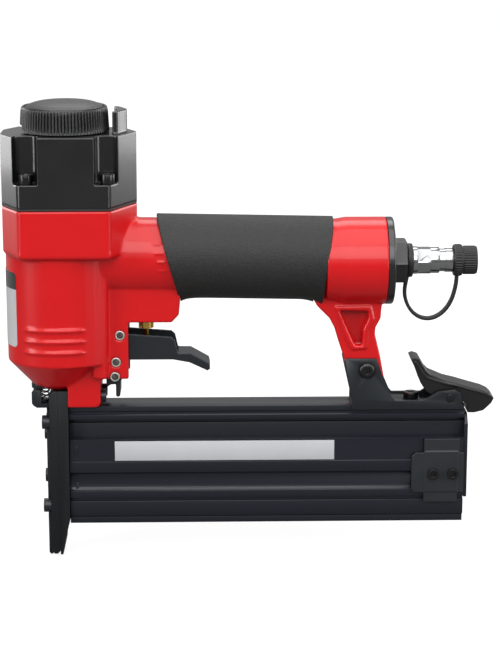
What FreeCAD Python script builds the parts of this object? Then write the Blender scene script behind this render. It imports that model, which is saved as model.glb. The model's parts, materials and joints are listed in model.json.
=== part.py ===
import FreeCAD, Part
import math
import os

V = FreeCAD.Vector

# Pneumatic brad nailer, millimetres.
# X runs from the nose to the rear of the handle, Z is up, Y = 0 is the middle plane.
# The origin is the nose tip, on the axis of the driver blade.

# ---- clearances -------------------------------------------------------------
SLIDE_FIT = 0.08        # radial gap of a piston or stem in its bore
PIN_FIT = 0.05          # radial gap of a pivot on its pin
PRESS_FIT = 0.02        # radial gap of a pin in the part that holds it
SIDE_GAP = 0.3          # gap between faces that pass each other
SEAT = 0.1              # gap between pieces stacked on each other
EPS = 1.0               # how far a cutting tool runs past the face it cuts

# ---- magazine ---------------------------------------------------------------
MAG_FRONT_X = 5.5
MAG_REAR_X = 212.0
MAG_TOP = 82.2
MAG_BOTTOM = 18.9
MAG_HALF_WIDTH = 9.0
BEAM_HALF_WIDTH = MAG_HALF_WIDTH - 0.1
BEAM_BOTTOM = MAG_TOP - 7.0
SLOT_HALF = 0.8         # half of the gap that the brads run in
SLOT_TOP = MAG_TOP - 9.5
FOOT_TOP = MAG_BOTTOM + 1.7
LIP_TOP = MAG_BOTTOM + 3.3
LIP_THICK = 1.5
TONGUE_FRONT_Y = -3.6
TONGUE_REAR_Y = -2.0
TONGUE_TOP = SLOT_TOP + 3.1
RAIL_WALL = 1.6
PANEL_Y = 3.0 - MAG_HALF_WIDTH
PANEL_BOTTOM = MAG_TOP - 17.8
LABEL_Y = -0.3 - MAG_HALF_WIDTH
BAND_Y = -0.6 - MAG_HALF_WIDTH
LABEL_BOTTOM = MAG_TOP - 29.6
CHAMBER_FRONT_Y = 2.0 - MAG_HALF_WIDTH
CHAMBER_REAR_Y = -2.2
CHAMBER_BOTTOM = MAG_BOTTOM + 18.1
CHAMBER_TOP = CHAMBER_BOTTOM + 15.0
NECK_BOTTOM = CHAMBER_BOTTOM + 5.0
NECK_TOP = CHAMBER_BOTTOM + 10.0
ROD_Z = CHAMBER_BOTTOM + 7.5
ROD_Y = (CHAMBER_FRONT_Y + CHAMBER_REAR_Y) / 2
ROD_R = 1.1
PUSHER_FRONT_X = 8.0
PUSHER_LENGTH = 20.0
PUSHER_BOTTOM = MAG_BOTTOM + 3.1
PUSHER_TOP = SLOT_TOP - 1.7
PUSHER_SPRING_R = 1.9
PUSHER_SPRING_WIRE = 0.25
PUSHER_SPRING_PITCH = 7.0
END_PLATE = 1.8
END_PLATE_TOP = MAG_TOP - 5.3
END_PLATE_BOTTOM = MAG_BOTTOM + 13.1
LABEL_FRONT_X = 29.3
LABEL_REAR_X = 143.9
LABEL_THICK = 0.25
KEEPER_FRONT_X = MAG_REAR_X - 27.5
KEEPER_SHEET = 1.2
KEEPER_TAB_FRONT_X = MAG_REAR_X - 21.0
KEEPER_TAB_REAR_X = MAG_REAR_X - 2.4
KEEPER_SCREWS_X = (MAG_REAR_X - 16.3, MAG_REAR_X - 5.9)
KEEPER_SCREW_Z = CHAMBER_BOTTOM + 8.5
KEEPER_BOTTOM = KEEPER_SCREW_Z - 10.5
KEEPER_TOP = KEEPER_SCREW_Z + 11.1
KEEPER_TAB_TOP = KEEPER_SCREW_Z + 18.6
KEEPER_TAB_BOTTOM = KEEPER_SCREW_Z - 15.8
KEEPER_SCREW_R = 1.6
KEEPER_HEAD_R = 2.9
KEEPER_HEAD = 2.6

# ---- head and barrel --------------------------------------------------------
BARREL_R = 25.5
BARREL_WALL = 3.1
BARREL_BOTTOM = 107.0   # where the barrel turns into its cone
CONE_BOTTOM = 94.0
CONE_R = 13.5
BODY_BOTTOM = 91.0
BODY_FOOT_R = 7.5
FLOOR_TOP = CONE_BOTTOM + 8.0    # inside floor that carries the cylinder
HEAD_BOTTOM = 165.5
HEAD_TOP = 188.0
HEAD_FRONT = -26.0
HEAD_REAR = 42.2
HEAD_HALF_WIDTH = BARREL_R + 3.0
FLAT_FRONT = -16.0      # front end of the flat side faces of the head
FLAT_REAR = 29.5
FRONT_HALF_FLAT = 9.0
REAR_HALF_FLAT = 1.0
HEAD_CORNER_R = 3.0
COLLAR_BORE_DEPTH = 10.0
BARREL_RIBS = 3
RIB_PITCH = 5.8
RIB_TOP = 126.0
RIB_LENGTH = 31.0
RIB_R = 1.1

# ---- cylinder, piston and driver -------------------------------------------
SLEEVE_BORE_R = 16.0
SLEEVE_R = SLEEVE_BORE_R + 2.6
COLLAR_BORE_R = SLEEVE_BORE_R + 8.0
SLEEVE_COLLAR_HEIGHT = 6.0
SLEEVE_COLLAR_DROP = 2.0    # collar top below the head's joint face
LOWER_SEAT_HEIGHT = 7.5
RETURN_HOLES = 8
RETURN_HOLE_R = 1.2
RETURN_HOLE_LIFT = 4.0
BUMPER_HEIGHT = 7.0
BUMPER_HOLE_R = 3.4
PISTON_HEIGHT = 8.0
PISTON_BOTTOM = HEAD_TOP - 7.0
BLADE_THICK = 1.3
BLADE_WIDTH = 5.2
BLADE_TIP = 73.0
BLADE_HOLD = 5.0
BLADE_PIN_R = 1.2
RING_WIDTH = 2.0
RING_DEPTH = 2.0
RING_SINK = 0.05

# ---- cylinder cap, head valve, exhaust --------------------------------------
GASKET = 1.0
CAP_TOP = HEAD_TOP + 36.5
VALVE_BORE_R = SLEEVE_BORE_R + 4.0
VALVE_ROOF = HEAD_TOP + 24.0
VALVE_HEIGHT = 10.8
VALVE_STEM_R = 7.9
VALVE_STEM_TOP = HEAD_TOP + 25.0
VALVE_SPRING_R = 13.5
VALVE_SPRING_WIRE = 0.8
EXHAUST_X = 6.0         # the exhaust knob's axis
RECESS_FLOOR = HEAD_TOP + 13.0
RECESS_LENGTH = 12.5
RECESS_DEPTH = 10.5
RECESS_FRONT_X = FLAT_FRONT + 3.75
RECESS_REAR_X = FLAT_REAR - 1.1
CAP_SCREW_Y = HEAD_HALF_WIDTH - 5.1
CAP_SCREW_R = 2.0
CAP_SCREW_HEAD_R = 3.6
CAP_SCREW_HEAD = 5.0
CAP_SCREW_REACH = HEAD_TOP - 16.0
KNOB_R_TOP = 21.8
KNOB_R_BOTTOM = KNOB_R_TOP + 1.1
KNOB_TOP = CAP_TOP + 11.0
KNOB_DISC_R = KNOB_R_TOP - 2.0
KNOB_DOME_TOP = KNOB_TOP + 5.1
KNOB_CAVITY_R = KNOB_R_TOP - 4.3
KNOB_PLATE_BOTTOM = KNOB_TOP - 6.0
KNOB_PLATE_TOP = KNOB_TOP - 3.5
BOLT_R = 3.0
BOLT_HEAD_R = 5.2
BOLT_HEAD = 3.4
BOLT_END = CAP_TOP - 6.1
SPIDER_R = 5.0          # centre boss in the exhaust port that takes the knob's bolt
SPIDER_ARM = 2.2
PORT_R = 11.0
PORT_FLOOR = CAP_TOP - 6.5
FIN_INNER_R = KNOB_R_BOTTOM + 3.7
FIN_HALF_WIDTH = 12.5
FIN_TOP = CAP_TOP + 11.5
FIN_REAR_X = HEAD_REAR - 3.6    # ---- handle -----------------------------------------------------------------
HANDLE_Z_FRONT = 160.4
HANDLE_Z_REAR = HANDLE_Z_FRONT - 1.8
HANDLE_FRONT_X = 20.0
GRIP_FRONT_X = 51.0
GRIP_REAR_X = 143.0
CORE_HALF_Y = 18.3
CORE_HALF_Z = 20.1
GRIP_WALL_Y = 2.0
GRIP_WALL_Z = 1.6
GRIP_FRONT_SLANT = 12.0
GRIP_REAR_SLANT = 6.0
REAR_R = CORE_HALF_Z + 2.5
REAR_Z = HANDLE_Z_FRONT - 3.2
REAR_ROUND_X = GRIP_REAR_X + 6.0
REAR_END_X = GRIP_REAR_X + 27.0
FLARE_STEP = 0.3        # the flare ends this much inside the round end
CHAMBER_R = 14.0
CHAMBER_Z = HANDLE_Z_FRONT - 1.4
END_BORE_R = 16.2
END_BORE_LENGTH = 12.0

# ---- trigger and its lock ---------------------------------------------------
LUG_REAR_X = 37.2
LUG_BOTTOM = 97.5
LUG_GAP_FRONT_X = 24.6
TRIGGER_HALF_WIDTH = 8.5
LUG_HALF_WIDTH = TRIGGER_HALF_WIDTH + 3.5
TRIGGER_SHEET = 1.6
TRIGGER_PIN = (32.9, 120.7)
STOP_PIN = (TRIGGER_PIN[0] - 2.2, TRIGGER_PIN[1] - 14.2)
LOCK_PIN = (TRIGGER_PIN[0] - 2.8, TRIGGER_PIN[1] - 21.9)
PIN_R = 2.5
TRIGGER_FLOOR = TRIGGER_PIN[1] - 13.7
TRIGGER_REAR_X = TRIGGER_PIN[0] + 29.7
LOCK_HALF_WIDTH = TRIGGER_HALF_WIDTH - 0.3
LOCK_HUB_R = 4.1

# ---- trigger valve ----------------------------------------------------------
STEM_X = 46.1
STEM_R = 1.45
STEM_BOTTOM = 109.0
STEM_HEAD_R = 3.6
STEM_HEAD_BOTTOM = 140.0
STEM_HEAD = 2.0
STEM_SPRING_R = 3.0
STEM_SPRING_WIRE = 0.35
BOSS_BOTTOM = 127.3
BOSS_REAR_X = 64.0
BOSS_HALF_WIDTH = TRIGGER_HALF_WIDTH + 3.5
HOUSING_R = 7.42
HOUSING_COLLAR_R = 3.9
HOUSING_COLLAR_BOTTOM = 122.5
HOUSING_BOTTOM = 129.6
HOUSING_TOP = 149.0
HOUSING_CAVITY_R = 4.4
HOUSING_CAVITY_BOTTOM = 136.0
HOUSING_ROOF = 1.5

# ---- rear leg and bracket ---------------------------------------------------
LEG_HALF_WIDTH = MAG_HALF_WIDTH - 0.5
LEG_POCKET_DEPTH = 5.5
LEG_FOOT_Z = MAG_TOP + 2.3
BRACKET_SHEET = 1.5
BRACKET_HALF_INNER = MAG_HALF_WIDTH
BRACKET_SCREW = (REAR_ROUND_X + 11.4, MAG_TOP + 19.1)
BRACKET_SCREW_R = 2.5
BUTTON_R = 4.3
BUTTON_HEIGHT = 2.4
NUT_R = 4.6
NUT_HEIGHT = 4.0
BASE_SCREW_X = MAG_REAR_X - 27.5
BASE_SCREW_R = 2.0
BASE_HEAD_R = 3.9
BASE_HEAD = 3.2
BASE_REAR_X = BASE_SCREW_X + 4.5    # ---- latch ------------------------------------------------------------------
LATCH_PIN = (MAG_REAR_X - 7.9, MAG_TOP + 3.6)
LATCH_PIN_R = 2.3
LATCH_HALF_WIDTH = MAG_HALF_WIDTH - 1.4
LATCH_SPRING_HALF = 4.0
LATCH_SPRING_R = LATCH_PIN_R + 0.65
LATCH_SPRING_WIRE = 0.4

# ---- nose -------------------------------------------------------------------
NOSE_HALF_WIDTH = MAG_HALF_WIDTH + 2.0
FRONT_PLATE = 4.3
REAR_PLATE = MAG_FRONT_X - SEAT
NOSE_TOP = 90.9
FRONT_TIP = 2.6
REAR_TIP = 2.2
PARTING = 0.05
CHANNEL_HALF = 0.75
CHANNEL_HALF_WIDTH = 2.7
NOSE_SCREWS = ((-7.6, 73.7), (7.6, 64.0), (7.6, 40.5), (-7.6, 28.5))
NOSE_SCREW_R = 2.0
NOSE_HEAD_R = 3.6
NOSE_HEAD = 4.0
SAFETY_THICK = 2.1
SAFETY_HALF_WIDTH = 3.4
SAFETY_TOP = 77.0
SAFETY_SPRING_R = 3.6
SAFETY_SPRING_WIRE = 0.5
SAFETY_ROD_R = 1.0
SAFETY_X = -8.6         # axis of the safety spring
SAFETY_COLLAR_R = 3.6
SAFETY_COLLAR_BOTTOM = 83.4
SAFETY_COLLAR = 1.0
HOOK_FOOT_BOTTOM = 81.0
HOOK_FOOT_TOP = 83.1
SPRING_SEAT_R = 5.4
SPRING_SEAT_BOTTOM = 90.7
SPRING_SEAT = 3.2
BLOCK_REAR_X = MAG_FRONT_X + 17.0
BLOCK_BOTTOM = MAG_TOP + 0.2
BLOCK_SCREW_Z = BLOCK_BOTTOM + 5.0
BLOCK_SCREW_Y = 6.5
BLOCK_SCREW_R = 2.0
BLOCK_HEAD_R = 3.2
BLOCK_HEAD = 2.6

# ---- air inlet --------------------------------------------------------------
END_RIM = 3.8
END_HEX_AF = 21.4
END_HEX_LENGTH = 6.8
SPIGOT_R = 15.9
THREAD_R = 6.5
BORE_R = 3.2
TETHER_RING_R = 8.8
TETHER_RING = 3.2
PLUG_HEX_AF = 12.8
PLUG_HEX = 6.7
PLUG_BODY_R = 6.75
PLUG_BODY = 4.6
PLUG_GROOVE_R = 5.9
PLUG_GROOVE = 3.2
PLUG_BEAD_R = 6.2
PLUG_BEAD = 4.0
NIPPLE_R = 5.1
NIPPLE = 10.0
CAP_FLANGE_R = 8.0
CAP_FLANGE = 4.4
CAP_BODY_R = 7.15
CAP_LENGTH = 12.0
TETHER_HALF_WIDTH = 2.6
TETHER_THICK = 2.4
TETHER_R = 13.2
TETHER_DROP = REAR_Z - 17.9
FRONT_LABEL_ANGLE = 42.0
FRONT_LABEL_BOTTOM = 115.6
FRONT_LABEL_TOP = 154.9


# ---- shape helpers ----------------------------------------------------------
def box(x0, x1, y0, y1, z0, z1):
    return Part.makeBox(x1 - x0, y1 - y0, z1 - z0, V(x0, y0, z0))


def sided(x0, x1, half, z0, z1):
    return box(x0, x1, -half, half, z0, z1)


def cyl_z(x, y, r, z0, z1):
    return Part.makeCylinder(r, z1 - z0, V(x, y, z0), V(0, 0, 1))


def cyl_y(x, z, r, y0, y1):
    return Part.makeCylinder(r, y1 - y0, V(x, y0, z), V(0, 1, 0))


def cyl_x(y, z, r, x0, x1):
    return Part.makeCylinder(r, x1 - x0, V(x0, y, z), V(1, 0, 0))


def ring_z(x, y, r_in, r_out, z0, z1):
    return cyl_z(x, y, r_out, z0, z1).cut(cyl_z(x, y, r_in, z0 - EPS, z1 + EPS))


def ring_x(y, z, r_in, r_out, x0, x1):
    return cyl_x(y, z, r_out, x0, x1).cut(cyl_x(y, z, r_in, x0 - EPS, x1 + EPS))


def face_of(points):
    return Part.Face(Part.makePolygon(points + [points[0]]))


def plate_y(outline, y0, y1):
    """Outline in X and Z, extruded along Y."""
    return face_of([V(x, y0, z) for x, z in outline]).extrude(V(0, y1 - y0, 0))


def plate_x(outline, x0, x1):
    """Outline in Y and Z, extruded along X."""
    return face_of([V(x0, y, z) for y, z in outline]).extrude(V(x1 - x0, 0, 0))


def plate_z(outline, z0, z1):
    """Outline in X and Y, extruded along Z."""
    return face_of([V(x, y, z0) for x, y in outline]).extrude(V(0, 0, z1 - z0))


def hexagon_x(across_flats, y, z, x0, x1):
    corner = across_flats / math.sqrt(3)
    turns = [math.radians(60 * i) for i in range(6)]
    return plate_x([(y + corner * math.cos(t), z + corner * math.sin(t)) for t in turns], x0, x1)


def joined(shapes):
    return shapes[0].multiFuse(shapes[1:]).removeSplitter() if len(shapes) > 1 else shapes[0]


def mirrored(shape):
    return shape.mirror(V(0, 0, 0), V(0, 1, 0))


def oval(x, half_y, half_z, z):
    wide, tall = V(0, 1, 0), V(0, 0, 1)
    if half_z > half_y:
        ellipse = Part.Ellipse(V(x, 0, z) + tall * half_z, V(x, 0, z) + wide * half_y, V(x, 0, z))
    else:
        ellipse = Part.Ellipse(V(x, 0, z) + wide * half_y, V(x, 0, z) + tall * half_z, V(x, 0, z))
    return Part.Wire([ellipse.toShape()])


def oval_loft(sections):
    return Part.makeLoft([oval(*section) for section in sections], True, True)


def edges_along(shape, direction):
    """Straight edges of a shape that run along a direction."""
    found = []
    for edge in shape.Edges:
        if len(edge.Vertexes) == 2 and isinstance(edge.Curve, Part.Line):
            run = (edge.Vertexes[1].Point - edge.Vertexes[0].Point).normalize()
            if abs(run.dot(direction)) > 0.999:
                found.append(edge)
    return found


def coil_z(x, y, r, wire, z0, z1, turns):
    """Helical spring standing on z0, reaching z1."""
    height = z1 - z0 - 2 * wire
    helix = Part.makeHelix(height / turns, height, r)
    section = Part.Wire([Part.makeCircle(wire, V(r, 0, 0), V(0, 1, 0))])
    spring = Part.Wire(helix.Edges).makePipeShell([section], True, True)
    spring.translate(V(x, y, z0 + wire))
    return spring


def turned_to_x(shape):
    """Turn a shape modelled along +Z so that it runs along +X."""
    shape.rotate(V(0, 0, 0), V(0, 1, 0), 90)
    return shape


def turned_to_y(shape):
    shape.rotate(V(0, 0, 0), V(1, 0, 0), -90)
    return shape


# ---- outlines shared by several pieces --------------------------------------
def around(place, offsets):
    """Outline given by its offsets from a place, such as a pin."""
    return [(place[0] + x, place[1] + z) for x, z in offsets]


def head_outline(inset=0.0):
    """Plan of the head and of its cap: a long hexagon with two short end flats."""
    half = HEAD_HALF_WIDTH - inset
    front, rear = HEAD_FRONT + inset, HEAD_REAR - inset
    return [(front, -FRONT_HALF_FLAT), (FLAT_FRONT, -half), (FLAT_REAR, -half), (rear, -REAR_HALF_FLAT),
            (rear, REAR_HALF_FLAT), (FLAT_REAR, half), (FLAT_FRONT, half), (front, FRONT_HALF_FLAT)]


def head_prism(z0, z1, inset=0.0):
    prism = plate_z(head_outline(inset), z0, z1)
    return prism.makeFillet(HEAD_CORNER_R, edges_along(prism, V(0, 0, 1)))


def cap_screw_places():
    return [(x, side * CAP_SCREW_Y) for x in (RECESS_FRONT_X, RECESS_REAR_X) for side in (-1, 1)]


def leg_outline():
    return around((REAR_ROUND_X, LEG_FOOT_Z), [(-18.0, 56.5), (-14.6, 50.4), (-8.1, 43.8), (-5.5, 38.7),
                                               (-3.6, 32.3), (-0.1, 21.9), (4.6, 0.0), (23.4, 0.0),
                                               (20.1, 14.5), (18.1, 25.0), (15.5, 35.4), (15.8, 38.9),
                                               (18.4, 43.9), (18.9, 51.0), (18.9, 65.5), (-18.0, 65.5)])


def leg_pocket_outline():
    return around((REAR_ROUND_X, LEG_FOOT_Z), [(-4.4, 49.3), (12.7, 49.3), (13.6, 43.5), (10.9, 37.5),
                                               (10.4, 28.7), (4.2, 28.4), (0.6, 35.5)])


def bracket_outline():
    base_top = MAG_TOP + SEAT + BRACKET_SHEET + 1.0
    top = around(BRACKET_SCREW, [(-11.1, 6.1), (5.0, 6.0), (7.8, -1.8), (13.3, -14.7)])
    base = [(BRACKET_SCREW[0] + 14.8, base_top), (BASE_REAR_X + 1.4, base_top)]
    end = around(LATCH_PIN, [(-6.5, 3.6), (2.3, 4.7), (5.2, 2.9), (6.0, -0.8), (6.0, -5.7)])
    front = around(BRACKET_SCREW, [(-7.6, -21.2), (-7.5, -15.2), (-11.7, 3.6)])
    return top + base + end + front


def trigger_wall_outline():
    return around(TRIGGER_PIN, [(-3.7, -2.1), (0.9, -10.3), (0.9, -13.7), (29.3, -13.7), (29.7, -10.6),
                                (28.1, -3.5), (26.1, -1.8), (4.1, -0.1), (3.7, 2.3), (2.0, 3.8), (-1.9, 3.8),
                                (-3.7, 2.1)])


def trigger_tail_outline():
    return around(TRIGGER_PIN, [(27.1, -13.7), (35.7, -15.3), (45.0, -19.7), (46.3, -18.7), (45.8, -15.9),
                                (36.3, -10.5), (29.7, -10.4), (27.1, -12.1)])


def lock_outline():
    return around(LOCK_PIN, [(-4.7, -1.6), (-4.7, -6.6), (-2.5, -5.1), (0.2, -4.8), (0.2, -11.1), (1.3, -11.8),
                             (2.4, -11.1), (2.5, -1.6)])


def latch_outline():
    return around(LATCH_PIN, [(-20.8, 20.5), (-17.9, 14.7), (-15.4, 7.7), (-12.5, 3.2), (-9.9, 1.1),
                              (-3.9, -0.6), (-1.5, -2.7), (7.3, -2.7), (9.2, -3.5), (9.4, -8.4), (13.0, -8.5),
                              (17.8, -7.3), (21.9, -3.4), (23.2, -0.6), (21.1, 1.6), (17.5, 3.3), (11.4, 5.0),
                              (3.4, 7.4), (-2.6, 8.9), (-10.3, 12.2), (-12.7, 14.6), (-16.0, 20.4),
                              (-18.8, 21.4)])


# ---- body casting -----------------------------------------------------------
def barrel_shell():
    straight = cyl_z(0, 0, BARREL_R, BARREL_BOTTOM, HEAD_TOP - EPS)
    cone = Part.makeCone(CONE_R, BARREL_R, BARREL_BOTTOM - CONE_BOTTOM, V(0, 0, CONE_BOTTOM))
    foot = Part.makeCone(BODY_FOOT_R, CONE_R, CONE_BOTTOM - BODY_BOTTOM, V(0, 0, BODY_BOTTOM))
    return joined([straight, cone, foot])


def handle_core():
    front = (HANDLE_FRONT_X, CORE_HALF_Y, CORE_HALF_Z, HANDLE_Z_FRONT)
    rear = (GRIP_REAR_X - GRIP_REAR_SLANT, CORE_HALF_Y, CORE_HALF_Z, HANDLE_Z_REAR)
    flare = (REAR_ROUND_X, REAR_R - FLARE_STEP, REAR_R - 2 * FLARE_STEP, REAR_Z)
    barrel = cyl_x(0, REAR_Z, REAR_R, REAR_ROUND_X, REAR_END_X)
    return joined([oval_loft([front, rear]), oval_loft([rear, flare]), barrel])


def rear_leg():
    leg = plate_y(leg_outline(), -LEG_HALF_WIDTH, LEG_HALF_WIDTH)
    pocket = plate_y(leg_pocket_outline(), -LEG_HALF_WIDTH - EPS, LEG_POCKET_DEPTH - LEG_HALF_WIDTH)
    screw_hole = cyl_y(*BRACKET_SCREW, BRACKET_SCREW_R + PIN_FIT, -LEG_HALF_WIDTH - EPS, LEG_HALF_WIDTH + EPS)
    return leg.cut(pocket).cut(mirrored(pocket)).cut(screw_hole)


def trigger_lugs():
    block = sided(10.0, LUG_REAR_X, LUG_HALF_WIDTH, LUG_BOTTOM, 150.0)
    boss = plate_y([(30.0, BOSS_BOTTOM), (59.6, BOSS_BOTTOM), (63.3, 131.3), (BOSS_REAR_X, 138.0),
                    (BOSS_REAR_X, 158.0), (30.0, 158.0)], -BOSS_HALF_WIDTH, BOSS_HALF_WIDTH)
    gap = sided(LUG_GAP_FRONT_X, LUG_REAR_X + EPS, TRIGGER_HALF_WIDTH + SIDE_GAP, LUG_BOTTOM - EPS,
                BOSS_BOTTOM)
    return block.fuse(boss).cut(gap)


def nose_block():
    return plate_y([(MAG_FRONT_X, BLOCK_BOTTOM), (BLOCK_REAR_X - 2.4, BLOCK_BOTTOM),
                    (BLOCK_REAR_X - 0.7, BLOCK_BOTTOM + 0.7), (BLOCK_REAR_X, BLOCK_BOTTOM + 2.4),
                    (BLOCK_REAR_X, 95.0), (BLOCK_REAR_X + 1.5, 98.0), (BLOCK_REAR_X + 1.5, 104.0),
                    (MAG_FRONT_X, 104.0)], -LUG_HALF_WIDTH, LUG_HALF_WIDTH)


def body_cavities():
    bore_r = BARREL_R - BARREL_WALL
    collar_floor = HEAD_TOP - COLLAR_BORE_DEPTH
    cuts = [cyl_z(0, 0, SLEEVE_R + PIN_FIT, FLOOR_TOP, HEAD_TOP),
            cyl_z(0, 0, bore_r, FLOOR_TOP + LOWER_SEAT_HEIGHT, HEAD_TOP),
            cyl_z(0, 0, COLLAR_BORE_R, collar_floor, HEAD_TOP + EPS),
            sided(-1.2, 1.2, CHANNEL_HALF_WIDTH + SIDE_GAP, BODY_BOTTOM - EPS, FLOOR_TOP + EPS),
            cyl_x(0, CHAMBER_Z, CHAMBER_R, HANDLE_FRONT_X, REAR_END_X),
            cyl_x(0, REAR_Z, END_BORE_R, REAR_END_X - END_BORE_LENGTH, REAR_END_X + EPS),
            cyl_z(STEM_X, 0, HOUSING_R + SLIDE_FIT, HOUSING_BOTTOM - SEAT, HOUSING_TOP + EPS),
            cyl_z(STEM_X, 0, HOUSING_COLLAR_R + SEAT, BOSS_BOTTOM - EPS, HOUSING_BOTTOM),
            cyl_z(SAFETY_X, 0, SPRING_SEAT_R + SEAT, BODY_BOTTOM - EPS - SIDE_GAP,
                  SPRING_SEAT_BOTTOM + SPRING_SEAT)]
    cuts += [cyl_z(x, y, CAP_SCREW_R + PIN_FIT, CAP_SCREW_REACH - EPS, HEAD_TOP + EPS)
             for x, y in cap_screw_places()]
    cuts += [cyl_y(x, z, PIN_R, -LUG_HALF_WIDTH - EPS, LUG_HALF_WIDTH + EPS)
             for x, z in (TRIGGER_PIN, STOP_PIN, LOCK_PIN)]
    cuts += [cyl_x(side * BLOCK_SCREW_Y, BLOCK_SCREW_Z, BLOCK_SCREW_R + PIN_FIT, 0, BLOCK_REAR_X + 2 * EPS)
             for side in (-1, 1)]
    return cuts


def barrel_ribs():
    """Shallow grooves across the barrel's side, cut on both sides."""
    grooves = []
    for i in range(BARREL_RIBS):
        z = RIB_TOP - i * RIB_PITCH
        for side in (-1, 1):
            grooves.append(cyl_x(side * (BARREL_R + 0.2), z, RIB_R, -RIB_LENGTH / 2, RIB_LENGTH / 2))
    return grooves


def body_casting():
    solid = joined([barrel_shell(), head_prism(HEAD_BOTTOM, HEAD_TOP), handle_core(), rear_leg(),
                    trigger_lugs(), nose_block()])
    return solid.cut(joined(body_cavities())).cut(Part.makeCompound(barrel_ribs()))


# ---- cylinder group ---------------------------------------------------------
def sleeve_collar_top():
    return HEAD_TOP - SLEEVE_COLLAR_DROP


def cylinder_sleeve():
    top = HEAD_TOP + GASKET - SEAT
    collar_bottom = sleeve_collar_top() - SLEEVE_COLLAR_HEIGHT
    tube = ring_z(0, 0, SLEEVE_BORE_R, SLEEVE_R, FLOOR_TOP + SEAT, top)
    collar = ring_z(0, 0, SLEEVE_BORE_R, COLLAR_BORE_R - SEAT, collar_bottom, sleeve_collar_top())
    sleeve = tube.fuse(collar)
    sleeve = sleeve.cut(sleeve_ring(0))
    sleeve = sleeve.cut(sleeve_ring(1))
    hole_z = FLOOR_TOP + BUMPER_HEIGHT + RETURN_HOLE_LIFT
    for i in range(RETURN_HOLES):
        hole = Part.makeCylinder(RETURN_HOLE_R, SLEEVE_R + EPS, V(0, 0, hole_z), V(1, 0, 0))
        hole.rotate(V(0, 0, 0), V(0, 0, 1), (i + 0.5) * 360 / RETURN_HOLES)
        sleeve = sleeve.cut(hole)
    return sleeve.removeSplitter()


def sleeve_ring(index):
    """0 is the seal in the lower seat, 1 the seal of the collar."""
    if index == 0:
        z = FLOOR_TOP + LOWER_SEAT_HEIGHT / 2
        return ring_z(0, 0, SLEEVE_R - RING_DEPTH / 2, SLEEVE_R, z, z + RING_WIDTH)
    z = sleeve_collar_top() - SLEEVE_COLLAR_HEIGHT / 2 - RING_WIDTH / 2
    return ring_z(0, 0, COLLAR_BORE_R - SEAT - RING_DEPTH, COLLAR_BORE_R - SEAT, z, z + RING_WIDTH)


def sleeve_seals():
    return Part.makeCompound([sleeve_ring(0), sleeve_ring(1)])


def bumper():
    bottom = FLOOR_TOP + SEAT
    pad = ring_z(0, 0, BUMPER_HOLE_R, SLEEVE_BORE_R - SEAT, bottom, bottom + BUMPER_HEIGHT)
    rim = [edge for edge in pad.Edges if edge.BoundBox.ZMin > bottom + BUMPER_HEIGHT - 0.01]
    return pad.makeChamfer(1.5, rim)


def blade_shape(z0, z1, gap=0.0):
    return sided(-BLADE_THICK / 2 - gap, BLADE_THICK / 2 + gap, BLADE_WIDTH / 2 + gap, z0, z1)


def piston_ring():
    radius = SLEEVE_BORE_R - RING_SINK
    z = PISTON_BOTTOM + PISTON_HEIGHT / 2 - RING_WIDTH / 2
    return ring_z(0, 0, radius - RING_DEPTH, radius, z, z + RING_WIDTH)


def blade_pin():
    """Cross pin that holds the blade in the piston."""
    half = SLEEVE_BORE_R / 2
    return cyl_x(0, PISTON_BOTTOM + BLADE_HOLD / 2, BLADE_PIN_R, -half, half)


def piston():
    top = PISTON_BOTTOM + PISTON_HEIGHT - SEAT
    disc = cyl_z(0, 0, SLEEVE_BORE_R - SLIDE_FIT, PISTON_BOTTOM, top)
    dish = cyl_z(0, 0, SLEEVE_BORE_R - 4.0, top - 1.5, top + EPS)
    groove_z = PISTON_BOTTOM + PISTON_HEIGHT / 2 - RING_WIDTH / 2
    groove = ring_z(0, 0, SLEEVE_BORE_R - RING_SINK - RING_DEPTH, SLEEVE_BORE_R, groove_z, groove_z + RING_WIDTH)
    pocket = blade_shape(PISTON_BOTTOM - EPS, PISTON_BOTTOM + BLADE_HOLD, PRESS_FIT)
    pin_hole = cyl_x(0, PISTON_BOTTOM + BLADE_HOLD / 2, BLADE_PIN_R + PRESS_FIT, -SLEEVE_BORE_R, SLEEVE_BORE_R)
    return disc.cut(dish).cut(groove).cut(pocket).cut(pin_hole)


def driver_blade():
    blade = blade_shape(BLADE_TIP, PISTON_BOTTOM + BLADE_HOLD - SEAT)
    hole = cyl_x(0, PISTON_BOTTOM + BLADE_HOLD / 2, BLADE_PIN_R + PRESS_FIT, -BLADE_WIDTH, BLADE_WIDTH)
    return blade.cut(hole)


# ---- cap, head valve and exhaust --------------------------------------------
def cap_bottom():
    return HEAD_TOP + GASKET


def cap_gasket():
    gasket = head_prism(HEAD_TOP, cap_bottom())
    gasket = gasket.cut(cyl_z(0, 0, COLLAR_BORE_R + SEAT, HEAD_TOP - EPS, cap_bottom() + EPS))
    for x, y in cap_screw_places():
        gasket = gasket.cut(cyl_z(x, y, CAP_SCREW_R + PIN_FIT, HEAD_TOP - EPS, cap_bottom() + EPS))
    return gasket


def cap_recess(x, side):
    inner_y = HEAD_HALF_WIDTH - RECESS_DEPTH
    pocket = box(x - RECESS_LENGTH / 2, x + RECESS_LENGTH / 2, inner_y, HEAD_HALF_WIDTH + EPS,
                 RECESS_FLOOR, CAP_TOP + EPS)
    inner = [edge for edge in edges_along(pocket, V(0, 0, 1)) if edge.BoundBox.YMax < inner_y + 0.01]
    pocket = pocket.makeFillet(RECESS_LENGTH / 3, inner)
    return pocket if side > 0 else mirrored(pocket)


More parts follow.
